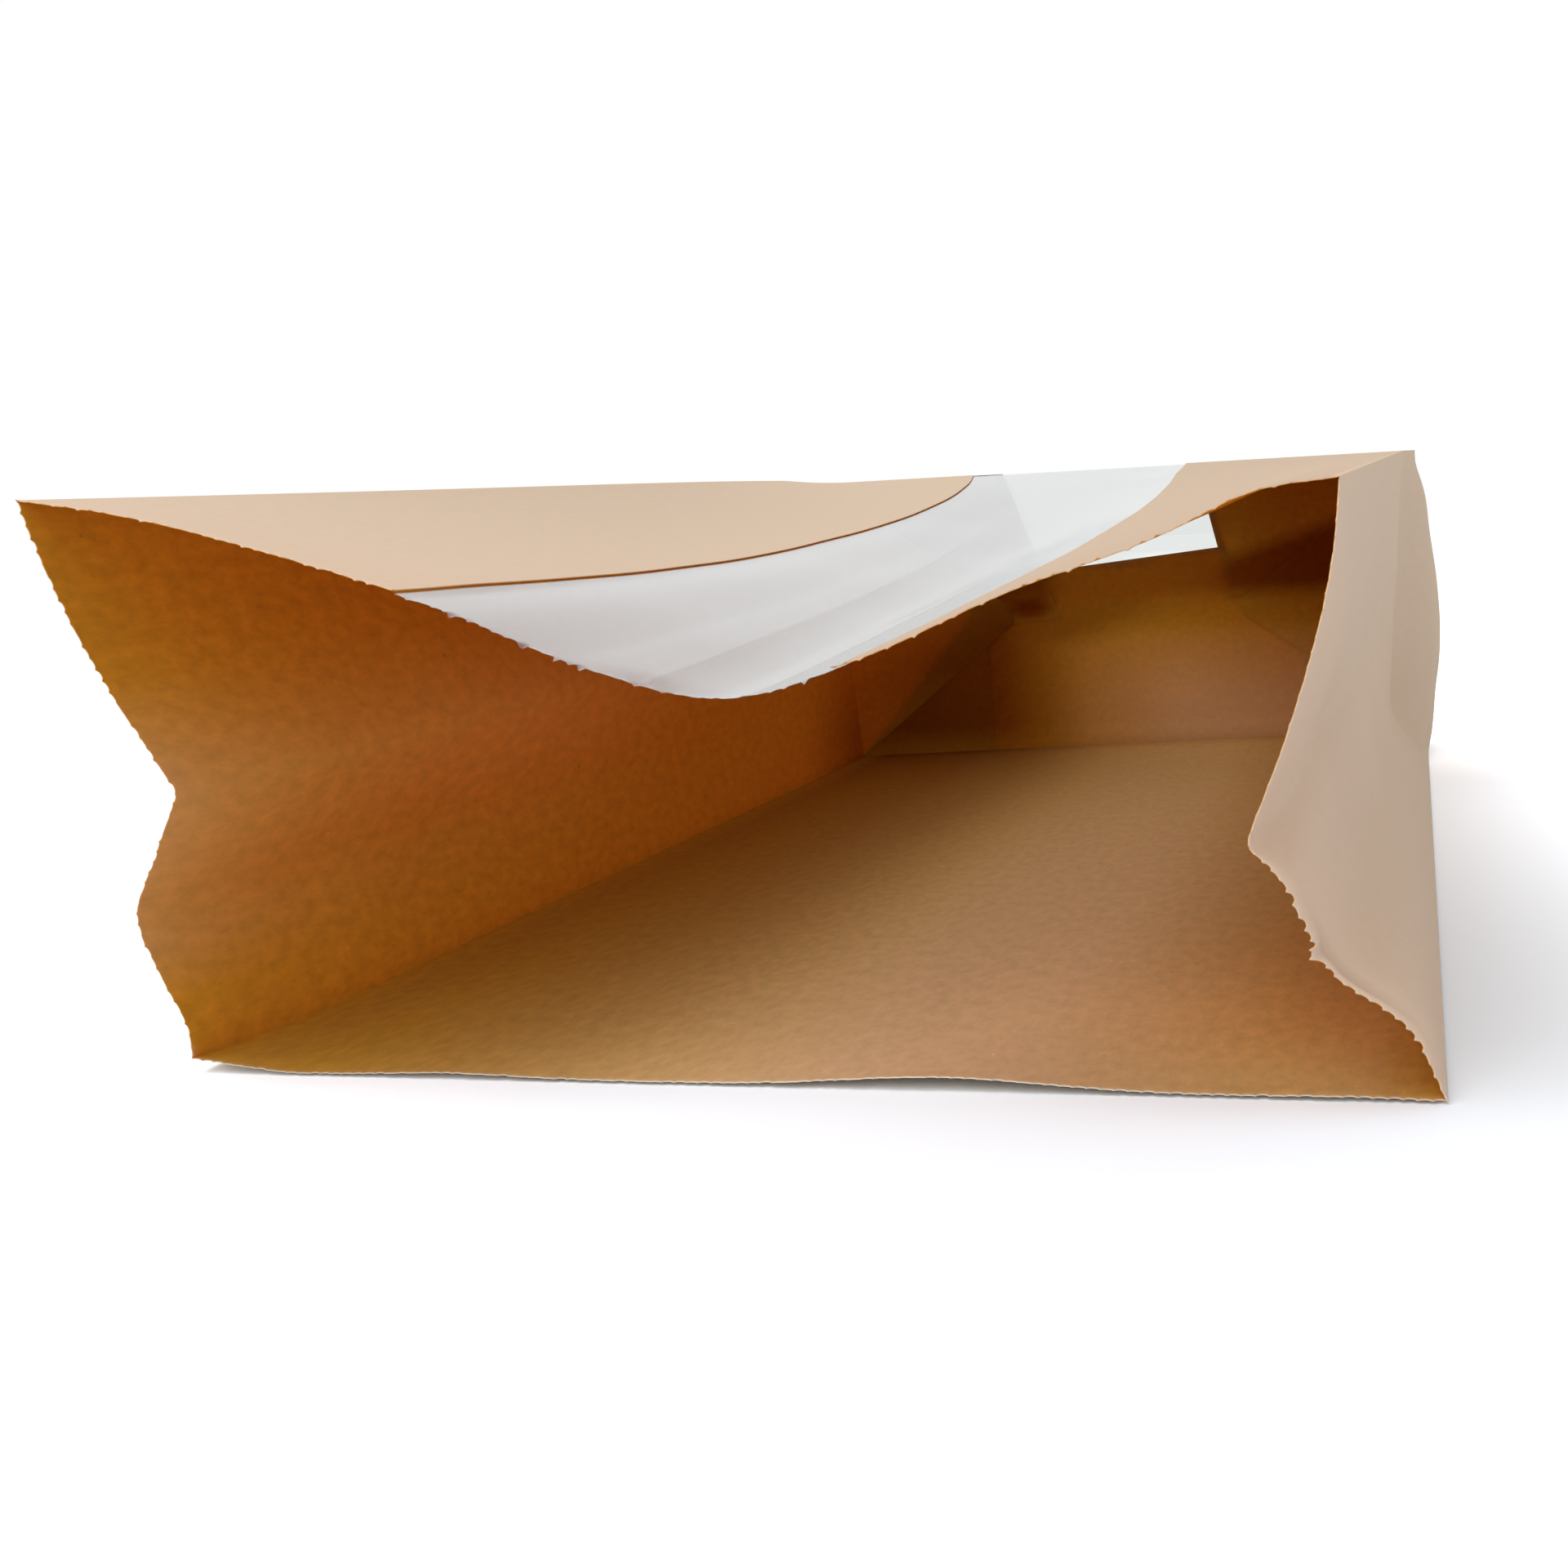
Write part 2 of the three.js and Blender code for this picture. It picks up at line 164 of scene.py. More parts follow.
# The panels round the sheet: left part of the window panel, left wall, back, right wall, right part
PANEL_WIDTHS = [WINDOW_FROM_FOLD, GUSSET_DEPTH, BAG_WIDTH, GUSSET_DEPTH, BAG_WIDTH - WINDOW_END]
PANEL_STARTS = np.cumsum([0.0] + PANEL_WIDTHS)

# The cut of the mouth: seeds, spread of the notches' depth, the blade's wander as height and turn per column
CUT_SEED = 11
BEND_SEED = 23
NOTCH_SPREAD = (0.35, 1.4)
BLADE_WANDER = ((0.1, 0.011), (0.05, 0.043))

# Depth of the cut's notches round the mouth, in millimetres
NOTCH_DEPTH = np.array([
    [0, 0.5],
    [47.5, 0.35],
    [127.5, 0.25],
    [140, 0.4],
    [287.5, 0.45],
    [295, 0.7],
    [322, 0.7],
    [330, 0.35],
    [372, 0.6],
    [425, 0.7],
])

# How far the teeth are bent round the mouth, in millimetres; on the floor they lie flat
TOOTH_BEND = np.array([
    [0, 0.24],
    [47.5, 0.16],
    [127.5, 0.14],
    [134, 0],
    [281, 0],
    [287.5, 0.08],
    [367.5, 0.08],
    [376, 0.2],
    [425, 0.32],
])

# The window's two paper edges: share of the bag's length, then each edge's millimetres from the left fold
WINDOW_EDGES = np.array([
    [0, 48.6, 102.4],
    [0.1, 48.3, 106.3],
    [0.2, 48.1, 109],
    [0.35, 47.9, 110.8],
    [0.5, 48.3, 110.6],
    [0.65, 49.8, 109],
    [0.75, 50.9, 107.3],
    [0.83, 50.6, 105.8],
    [0.92, 47.8, 103.6],
    [1, 43.2, 101.4],
])

# The film's cut edge with its little tufts, and its lengthwise crease, in millimetres from the left fold
FILM_BURR = 0.5
FILM_HANG = 0.2
FILM_TUFTS = (56.4, 65.5, 69.6, 72.6, 99.0)
TUFT_HALF_WIDTH = 0.25
TUFT_LENGTH = 0.5
TUFT_HANG = 0.4
FILM_CREASE = 79.5
FILM_CREASE_DRIFT = 3.0
FILM_CREASE_RUN = 160.0

# How far the film shifts to the right on its way down the base, at the window's left and right edge
FILM_SHIFT_LEFT = 19.0
FILM_SHIFT_RIGHT = 9.5
FILM_SHORT = 0.5  # how far before the base fold its upper part ends
FILM_FIRST_DROP = 0.6  # from the fold to the first row below it
FILM_FOLD_DROP = 0.3  # how far below the upper part's end the lower part starts
FILM_BEHIND = 0.26  # how far behind the inside of the base it lies
FILM_BASE_ROWS = 16

# Where the base lies on the flat pattern, apart from the tube, and how far its pattern is squeezed in height
BASE_FLAT_START = (300.0, 500.0)
BASE_FLAT_SQUEEZE = 2.3

# The painted dark tongue of shade at the tip of the left side ply: place and reach across and up, in
# millimetres
TONGUE_PLACE = (-27.5, 42.3)
TONGUE_REACH = (10.0, 5.2)

# What goes with each place of a sheet besides its flat place
LABELS = ("cut_edge", "glued", "painted_shade_and_light", "painted_lit_tint", "inside_face")

# Folds sharper than this are not smoothed
SHARP_DEGREES = 50

# Pattern steps in a metre of the flat sheet, across and down
CLOUDS = (520.0, 220.0, 1.0)  # clouds of pulp of 1.9 by 4.5 mm
FIBRES = (3300.0, 500.0, 1.0)  # fibres of 0.3 by 2 mm
FLECKS = (140.0, 60.0, 1.0)  # one fleck in 7 by 17 mm
SPECKS = 110.0  # one speck in 9 by 9 mm

# The studio, in metres, degrees and watts; the surround's level is a share of white
FLOOR_REACH = 6.0
FLOOR_TOP = -0.0004
BESIDE_MOUTH = (0.075, -0.16, 0.0)
SURROUND_LEVEL = 0.585
KEY_DEGREES = 38
KEY_STRENGTH = 1.08
KEY_STAND = (-0.58, -0.32, 1.3)
PANEL_SIZE = 0.7
PANEL_WATTS = 1.9
PANEL_STAND = (-0.1, -0.8, 0.4)

# The camera from the fit to the bag's corners: pixels, degrees, metres, and the sensor in millimetres
FOCAL_PIXELS = 2474.0
IMAGE_PIXELS = 1920.0
YAW_PITCH_ROLL = (-17.61, -6.96, -3.48)
CAMERA_PLACE = (0.07824, -0.40348, 0.0664)
CLIP_START = 0.01
SENSOR_WIDTH = 36.0

WHITE = (1.0, 1.0, 1.0, 1.0)


def linear(text):
    """An sRGB hex colour as linear red, green, blue and an alpha of 1."""
    value = np.array([int(text[i:i + 2], 16) for i in (0, 2, 4)]) / 255
    value = np.where(value <= 0.04045, value / 12.92, ((value + 0.055) / 1.055) ** 2.4)
    return (*value.tolist(), 1.0)


def add_node(tree, kind, settings=None, **links):
    """Adds a node: settings go to its properties, links to its inputs, as a value or a socket.

    An input is given by its name, or by an underscore and its number.
    """
    node = tree.nodes.new(kind)
    for name, value in (settings or {}).items():
        setattr(node, name, value)
    for name, value in links.items():
        socket = node.inputs[int(name[1:])] if name[1:].isdigit() else node.inputs[name.replace("_", " ")]
        if isinstance(value, bpy.types.NodeSocket):
            tree.links.new(value, socket)
        else:
            socket.default_value = value
    return node


def empty_material(name):
    """A new material and its node tree, with no nodes in it."""
    material = bpy.data.materials.new(name)
    material.use_nodes = True
    material.node_tree.nodes.clear()
    return material, material.node_tree


def ramp(value, start, end):
    """Straight from 0 at the start to 1 at the end and level outside; the end may be below the start."""
    return np.clip((value - start) / (end - start), 0, 1)


def bell(value, centre, reach):
    """A bell curve of height 1 at the centre: e to the minus square of the distance counted in reaches."""
    return np.exp(-(((value - centre) / reach) ** 2))


def fade(value, reach):
    """A decay from 1 at 0: e to the minus distance counted in reaches."""
    return np.exp(-value / reach)


def hermite(rows, share):
    """Shifts read between the rows: a cubic in each gap whose slope at a row comes from its neighbours."""
    knots, values = rows[:, 0], rows[:, 1:]
    slopes = np.gradient(values, knots, axis=0)
    gap = np.clip(np.searchsorted(knots, share, side="right") - 1, 0, len(knots) - 2)
    width = (knots[gap + 1] - knots[gap])[..., None]
    p = (share - knots[gap])[..., None] / width
    start = (1 + 2 * p) * (1 - p) ** 2 * values[gap] + p * (1 - p) ** 2 * width * slopes[gap]
    end = p ** 2 * (3 - 2 * p) * values[gap + 1] + p ** 2 * (p - 1) * width * slopes[gap + 1]
    return start + end


def creased(rows, down):
    """As hermite, but broken at a gusset's middle crease, then averaged over 2 mm, which rounds it."""
    reach = CREASE_ROUNDING * ramp(np.minimum(down, 1 - down), start=0, end=0.1)
    sides = (-1, 0, 1)
    total = 0
    for side in sides:
        spot = down + side * reach
        upper = hermite(rows[rows[:, 0] <= GUSSET_MIDDLE], np.minimum(spot, GUSSET_MIDDLE))
        lower = hermite(rows[rows[:, 0] >= GUSSET_MIDDLE], np.maximum(spot, GUSSET_MIDDLE))
        total = total + np.where((spot <= GUSSET_MIDDLE)[..., None], upper, lower) / len(sides)
    return total


def points(x, y, z):
    """One array of places from three arrays of coordinates that stretch to one shape."""
    return np.stack(np.broadcast_arrays(x, y, z), axis=-1).astype(float)


def ruled(mouth, crease, end, along):
    """Straight from the mouth to the crease of the block bottom, then straight to the base fold."""
    along = along[..., None]
    first = mouth + (crease - mouth) * (along / CREASE)
    second = crease + (end - crease) * ((along - CREASE) / (1 - CREASE))
    return np.where(along <= CREASE, first, second)


def square(side, down, along):
    """The square tube's side wall: level rows, its top leaning towards the mouth as it nears the base."""
    x = side * HALF + RIGHT_SPREAD * down * (side > 0)
    y = FRONT + BAG_LENGTH * along - BASE_LEAN * along * (1 - down)
    return points(x, y, GUSSET_DEPTH * (1 - down))


def base_place(x, z):
    """A place in the plane of the base, which leans towards the mouth as it rises."""
    return points(x, BACK - BASE_LEAN * z / GUSSET_DEPTH, z)


END_TOP_LEFT = base_place(-HALF + END_LEFT, GUSSET_DEPTH + END_LEFT_RISE)
END_TOP_RIGHT = base_place(HALF + END_RIGHT, GUSSET_DEPTH + END_RIGHT_DROP)
END_LOW_LEFT = base_place(-HALF, 0.0)
END_LOW_RIGHT = base_place(HALF + RIGHT_SPREAD, END_LIFT)


def past_crease(along):
    """Share of the way from the crease of the block bottom to the base fold."""
    return ramp(along, start=CREASE, end=1)


def fold_bow(along):
    """Upward bow of the top left fold, as a sine whose crest lies nearer to the base."""
    return FOLD_BOW * np.sin(np.pi * along ** 2)


def corner_lift(along):
    """Lift of the bottom left corner of the mouth, dying away as a square along the bag."""
    return CORNER_LIFT * ramp(along * BAG_LENGTH, start=CORNER_REACH, end=0) ** 2


def gusset(side, mouth_rows, crease_rows, ends, down, along):
    """A side wall: the square wall shifted at the mouth and at the base crease, ruled between them."""
    mouth = square(side, down, 0.0 * along) + creased(mouth_rows, down)
    crease = square(side, down, 0.0 * along + CREASE) + creased(crease_rows, down)
    end = ends[0] + (ends[1] - ends[0]) * down[..., None]
    return ruled(mouth, crease, end, along)


def cockle(across, along, width, phase):
    """Slight waviness of a panel in millimetres: crossing sine waves that die at its rim."""
    u, s = across * width, along * BAG_LENGTH
    wave = sum(
        height * np.sin(2 * np.pi * (u / over + s / down) + times * phase)
        for height, over, down, times in COCKLE_WAVES
    )
    rim = ramp(np.minimum(across, 1 - across) * width, start=0, end=14)
    return wave * rim * ramp(s, start=0, end=20) * ramp(s, start=BAG_LENGTH, end=BAG_LENGTH - 25)


def left_gusset(down, along):
    """The left wall, with the bow of its top fold and the lifted corner at its foot."""
    place = gusset(-1, LEFT_MOUTH, LEFT_CREASE, (END_TOP_LEFT, END_LOW_LEFT), down, along)
    place[..., 2] += fold_bow(along) * (1 - down) ** 2 + corner_lift(along) * down ** 2
    place[..., 0] += cockle(down, along, GUSSET_DEPTH, phase=0.7)
    return place


def right_gusset(down, along):
    """The right wall, swelling outwards as a skewed sine between the base crease and the base fold.

    Near the mouth its lower half curls inwards over a few millimetres, with a small crumple and a nick.
    """
    place = gusset(1, RIGHT_MOUTH, RIGHT_CREASE, (END_TOP_RIGHT, END_LOW_RIGHT), down, along)
    swell = BASE_BULGE * np.sin(np.pi * down ** BULGE_SKEW) ** BULGE_FLATNESS
    swell = swell + SHOULDER_BULGE * bell(down, centre=0.14, reach=0.11)
    place[..., 0] += swell * ramp(down, start=0, end=0.02) * np.sin(np.pi * past_crease(along))
    place[..., 0] += RIGHT_WAVES * cockle(down, along, GUSSET_DEPTH, phase=2.3)
    s = along * BAG_LENGTH
    lower = ramp(down, start=0.5, end=0.6) * ramp(down, start=1, end=0.92)
    place[..., 0] += EDGE_CURL * lower * (1 - fade(s, reach=2.2)) * fade(s, reach=35)
    place[..., 0] -= EDGE_CRUMPLE * bell(s, centre=5.5, reach=2.8) * bell(down, centre=0.785, reach=0.085)
    place[..., 0] -= EDGE_NICK * bell(down, centre=0.714, reach=0.017) * fade(s, reach=3)
    return place


def window_panel(across, along):
    """The top panel: ruled between its two folds, with the sag of the mouth fading to the base and a belly.

    The belly goes across the panel as its share times the cube of the rest, and along it as a sine.
    """
    zero = 0.0 * across
    left = left_gusset(zero, along)
    left[..., 2] -= fold_bow(along)
    right = gusset(1, RIGHT_MOUTH, RIGHT_CREASE, (END_TOP_RIGHT, END_LOW_RIGHT), zero, along)
    place = left + (right - left) * across[..., None]
    first, last = WINDOW_PANEL_MOUTH[0, 1:], WINDOW_PANEL_MOUTH[-1, 1:]
    sag = hermite(WINDOW_PANEL_MOUTH, across) - first - (last - first) * across[..., None]
    place += sag * (1 - along)[..., None]
    place[..., 2] += fold_bow(along) * (1 - across) ** 4
    place[..., 2] -= BELLY * BELLY_SCALE * across * (1 - across) ** 3 * np.sin(np.pi * along)
    place[..., 2] += WINDOW_WAVES * cockle(across, along, BAG_WIDTH, phase=1.1)
    return place


def back_panel(across, along):
    """The panel on the floor: flat, lifted at front left and back right, with waves in its cut edge."""
    x = -HALF + (BAG_WIDTH + RIGHT_SPREAD) * across
    corner = corner_lift(along) * ramp(across, start=0.1, end=0) ** CORNER_SHARPNESS
    ripple = sum(height * bell(x, centre, reach) for height, centre, reach in EDGE_RIPPLES)
    tilt = END_LIFT * past_crease(along) * across
    lift = corner + tilt + ripple * fade(along * BAG_LENGTH, RIPPLE_REACH)
    return points(x, FRONT + BAG_LENGTH * along - BASE_LEAN * tilt / GUSSET_DEPTH, lift)


def normals(grid):
    """Unit normals of a grid of places, from the cross product of its steps along rows and columns."""
    across = np.gradient(grid, axis=1)
    along = np.gradient(grid, axis=0)
    normal = np.cross(along, across)
    return normal / np.linalg.norm(normal, axis=-1, keepdims=True)


def sheet_faces(number):
    """Faces of a grid of vertex numbers, row by row, four corners each."""
    corners = [number[:-1, :-1], number[1:, :-1], number[1:, 1:], number[:-1, 1:]]
    return np.stack(corners, axis=-1).reshape(-1, 4)


def thin_sheet(zones):
    """A closed thin sheet: both skins and a wall round the rim.

    A zone holds four grids: outer places, inner places, and what goes with each outer and each inner place.
    A second zone goes on below the first with fewer columns: each of its columns meets several of the first
    zone's in one many-cornered face. Gives places, groups of faces, and what goes with each place.
    """
    numbers, count = [], 0
    for zone in zones:
        rows, columns = zone[0].shape[:2]
        numbers.append(count + np.arange(rows * columns).reshape(rows, columns))
        count += rows * columns
    groups = [sheet_faces(number) for number in numbers]
    if len(zones) > 1:
        fine, coarse = numbers[0][-1], numbers[1][0]
        step = (len(fine) - 1) // (len(coarse) - 1)
        fan = [fine[k:len(fine) - step + k:step] for k in range(step, 0, -1)]
        groups.append(np.stack([fine[:-1:step], coarse[:-1], coarse[1:]] + fan, axis=-1))
    right = np.concatenate([number[:, -1] for number in numbers])
    left = np.concatenate([number[:, 0] for number in numbers])
    rim = np.concatenate([numbers[0][0, :-1], right[:-1], numbers[-1][-1, :0:-1], left[:0:-1]])
    after = np.roll(rim, -1)
    wall = np.stack([rim, after, after + count, rim + count], axis=-1)
    faces = groups + [group[:, ::-1] + count for group in groups] + [wall]
    places = np.concatenate([zone[side].reshape(-1, 3) for side in (0, 1) for zone in zones])
    labels = [zone[side].reshape(-1, zone[side].shape[-1]) for side in (2, 3) for zone in zones]
    return places, faces, np.concatenate(labels)


def make_piece(name, parts, material):
    """A mesh of thin sheets, in metres, with the flat sheet as its UV map and the labels as attributes."""
    offset = 0
    places, faces, labels = [], [], []
    for place, groups, label in parts:
        places.append(place)
        faces += [face for group in groups for face in (group + offset).tolist()]
        labels.append(label)
        offset += len(place)
    places, labels = np.concatenate(places) / MM_PER_METRE, np.concatenate(labels)
    mesh = bpy.data.meshes.new(name)
    mesh.from_pydata(places, [], faces)
    uv = mesh.uv_layers.new(name="flat_sheet")
    corner = np.empty(len(mesh.loops), dtype=np.int32)
    mesh.loops.foreach_get("vertex_index", corner)
    uv.data.foreach_set("uv", (labels[corner, :2] / MM_PER_METRE).ravel())
    for column, label in enumerate(LABELS, start=2):
        attribute = mesh.attributes.new(label, "FLOAT", "POINT")
        attribute.data.foreach_set("value", labels[:, column].copy())
    mesh.shade_smooth()
    mesh.set_sharp_from_angle(angle=np.radians(SHARP_DEGREES))
    mesh.materials.append(material)
    piece = bpy.data.objects.new(name, mesh)
    bpy.context.collection.objects.link(piece)
    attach(piece, "root")
    return piece


def notch_shape(column):
    """Form of one tooth: 0 at its tip and 1 in the notch, as the root of a sine."""
    return np.sqrt(np.sin(np.pi * (column % TOOTH_STEPS / TOOTH_STEPS)))


def mouth_cut(column, depth):
    """The scalloped cut of the mouth: pointed tips, round notches of uneven depth, and a slow wander."""
    tooth = column // TOOTH_STEPS
    uneven = np.random.default_rng(CUT_SEED).uniform(*NOTCH_SPREAD, tooth.max() + 1)[tooth]
    wander = sum(height * np.sin(column * turn) for height, turn in BLADE_WANDER)
    return depth * uneven * notch_shape(column) + wander


def tooth_bend(column):
    """How far the teeth of the cut are bent out of the sheet: each tip up or down by its own share of 1."""
    tip = (column + TOOTH_STEPS // 2) // TOOTH_STEPS
    turn = np.random.default_rng(BEND_SEED).uniform(-1, 1, tip.max() + 1)[tip]
    return turn * (1 - notch_shape(column))


def window_edges(along):
    """Places of the window's two paper edges as shares of the panel, read from their rows."""
    edges = hermite(WINDOW_EDGES, np.clip(along, 0, 1)) / BAG_WIDTH
    return edges[..., 0], edges[..., 1]


def tube_place(round_sheet, along):
    """Places of the sheet folded round the bag, from one side of the window to the other."""
    cuts = np.searchsorted(round_sheet, PANEL_STARTS[1:5] - 0.001)
    parts = np.split(along, cuts, axis=1)
    rounds = np.split(round_sheet, cuts)
    share = [
        np.broadcast_to((spot - start) / width, part.shape)
        for spot, start, width, part in zip(rounds, PANEL_STARTS, PANEL_WIDTHS, parts)
    ]
    left_edge = window_edges(parts[0])[0]
    right_edge = window_edges(parts[4])[1]
    return np.concatenate([
        window_panel((1 - share[0]) * left_edge, parts[0]),
        left_gusset(share[1], parts[1]),
        back_panel(share[2], parts[2]),
        right_gusset(1 - share[3], parts[3]),
        window_panel(1 - share[4] * (1 - right_edge), parts[4]),
    ], axis=1)


def back_tones(x, s):
    """Painted shade and light inside the back panel, x across it and s millimetres in from the mouth.

    Gives how much shade is painted, below zero where light is painted and it is paler, and how much painted
    light turns it a duller and pinker brown.
    """
    along = s / BAG_LENGTH
    # Painted light: the right part of the bottom, where light falls in, turns paler and pinker, less so
    # deeper in
    painted_lit_tint = 0.12 + 0.88 * ramp(x, start=-62, end=8) - 0.4 * ramp(x, start=30, end=60)
    # Painted shade: darker deeper in, over the left half, at the far right, along the base fold and behind
    # the right lip
    left_half = ramp(x, start=-5, end=-45) * (1 + 0.8 * along ** 4)
    far_right = ramp(x, start=10, end=40) * ramp(along, start=0.65, end=0.95)
    base_fold = ramp(along, start=0.976, end=1)
    right_lip = ramp(x, start=10, end=50) * bell(s, centre=0, reach=18)
    # Painted light near the mouth, at the right and in the middle
    painted_lit_right = ramp(x, start=15, end=55) * bell(s, centre=0, reach=75) * (1 - bell(s, centre=0, reach=22))
    painted_lit_middle = bell(x, centre=5, reach=28) * bell(s, centre=0, reach=55)
    dark = 0.02 + 0.05 * along + 0.34 * left_half + 0.06 * far_right + 0.16 * base_fold + 0.12 * right_lip
    return dark - painted_lit_right - 0.25 * painted_lit_middle, painted_lit_tint * (1 - 0.4 * along)


def left_wall_tones(down, s):
    """Painted shade and light inside the left wall, down as a share of it and s millimetres in from the
    mouth.

    Gives how much shade is painted, at its top edge and its far foot, and how much light is painted to make
    it pale, behind its cut edge and a third of the way along.
    """
    on_wall = (down >= 0) & (down <= 1)
    top_edge = on_wall * ramp(down, start=0.4, end=0.25) * bell(s, centre=0, reach=14)
    far_foot = on_wall * ramp(down, start=0.55, end=0.9) * ramp(s, start=290, end=345)
    near_edge = ramp(down, start=0.3, end=0.45) * ramp(down, start=0.9, end=0.8) * fade(s, reach=28)
    glance = bell(down, centre=0.55, reach=0.2) * bell(s / BAG_LENGTH, centre=0.32, reach=0.24)
    return 0.16 * top_edge + 0.6 * far_foot - 0.3 * glance, 0.22 * near_edge + 0.14 * glance


def outside_tones(spot, s):
    """Painted shade outside: right of the window towards the lip, and in a crease of the right wall."""
    lip = (spot > PANEL_STARTS[4]) * (0.1 + 0.12 * fade(s, reach=90))
    down = 1 - (spot - PANEL_STARTS[3]) / GUSSET_DEPTH
    crease = bell(down, centre=0.77, reach=0.1) * bell(s, centre=4.5, reach=2.4)
    return lip + 0.26 * crease


def tube_labels(spot, s, edge):
    """What goes with each place of the tube, outside and inside: its flat place, then the labels in order.

    Spot is the place round the sheet and s the way in from the mouth, in millimetres; edge is the cut edge.
    """
    zero = 0 * s
    x = spot - (PANEL_STARTS[2] + HALF)
    on_back = ramp(np.abs(x), start=HALF + 2, end=HALF - 8)
    back_dark, painted_lit_tint = back_tones(x, s)
    left_dark, left_pale = left_wall_tones((spot - PANEL_STARTS[1]) / GUSSET_DEPTH, s)
    # The floor keeps light from coming through the back panel, whose cut edge is paler than its inside
    # The left wall's share of inner colour drops where light is painted, so it shows paler there
    shade = (1 - left_pale) * (1 - 0.45 * (on_back > 0) * edge)
    flat = [spot + zero, s, edge, 0.9 * on_back + zero]
    outside = np.stack(flat + [outside_tones(spot, s), zero, zero], axis=-1)
    inside = np.stack(flat + [on_back * back_dark + left_dark, on_back * painted_lit_tint, shade], axis=-1)
    return outside, inside


def paper_tube():
    """The sheet folded round the bag: a fine zone with the cut edge, then a coarse one to the base."""
    teeth = [int(round(width / TOOTH_PITCH)) for width in PANEL_WIDTHS]
    spans = [
        start + width * np.arange(TOOTH_STEPS * count) / (TOOTH_STEPS * count)
        for start, width, count in zip(PANEL_STARTS, PANEL_WIDTHS, teeth)
    ]
    fine_round = np.append(np.concatenate(spans), PANEL_STARTS[5])
    column = np.arange(len(fine_round))
    cut = mouth_cut(column, np.interp(fine_round, NOTCH_DEPTH[:, 0], NOTCH_DEPTH[:, 1]))
    bent = tooth_bend(column) * np.interp(fine_round, TOOTH_BEND[:, 0], TOOTH_BEND[:, 1])
    fine = (fine_round, cut, bent, FINE_ROWS)
    coarse_round = fine_round[::TOOTH_STEPS]
    straight = np.zeros(len(coarse_round))
    coarse = (coarse_round, straight, straight, COARSE_ROWS)
    zones = []
    for spot, wander, bend, rows in (fine, coarse):
        down_sheet = rows[:, None] + wander * ramp(rows, start=CUT_REACH, end=0)[:, None]
        grid = tube_place(spot, np.clip(down_sheet / BAG_LENGTH, 0, 1))
        normal = normals(grid)
        grid = grid + normal * (bend * ramp(rows, start=BEND_REACH, end=0)[:, None])[..., None]
        edge = fade(rows, EDGE_FADE)[:, None] + 0 * down_sheet
        zones.append((grid, grid - PAPER * normal, *tube_labels(spot, down_sheet, edge)))
    return thin_sheet(zones)


def tongue(x, z):
    """A painted dark tongue of shade: e to the minus cube of the distance from its middle, counted in
    reaches.
    """
    off_x = (x - TONGUE_PLACE[0]) / TONGUE_REACH[0]
    off_z = (z - TONGUE_PLACE[1]) / TONGUE_REACH[1]
    return np.exp(-(np.hypot(off_x, off_z) ** 3))


def painted_shade_and_light(x, z):
    """Painted shade in the base: left below the flaps, in the overlaps, and faintly in the middle, with a
    patch of painted light low right of the middle.
    """
    upper = ramp(z, start=41, end=46)
    right = ramp(x, start=24, end=30)
    left = ramp(x, start=-18, end=-24)
    overlap = ramp(z - 0.3 * (x - 28), start=55.5, end=50.5)
    above = 0.9 * left + 0.65 * (1 - left - right) + right * (0.3 + 0.6 * overlap)
    low_left = ramp(x, start=-12, end=-38) * ramp(z, start=-8, end=8)
    rise_to_right = 6 * ramp(x, start=-20, end=0)
    middle = ramp(z - rise_to_right, start=26, end=34) * np.maximum(ramp(x, start=25, end=0), 0.5)
    below = np.maximum(0.85 * low_left, 0.55 * middle)
    # Painted light: a paler patch low right of the middle
    painted_lit = bell(x, centre=13, reach=14) * bell(z, centre=20, reach=10)
    return np.maximum(below * (1 - upper) + above * upper, tongue(x, z)) - 0.22 * painted_lit


def painted_side_shade(x, z):
    """Painted shade along the slanting edge of the left side ply, dying away as a bell, and at its tip."""
    run, rise = 48, 38
    away = np.clip((z * run - (x + HALF) * rise) / np.hypot(run, rise), 0, None)
    along_edge = np.maximum(ramp(z, start=-5, end=27), 0.45) * bell(away, centre=0, reach=18)
    return np.maximum(0.8 * along_edge, tongue(x, z))


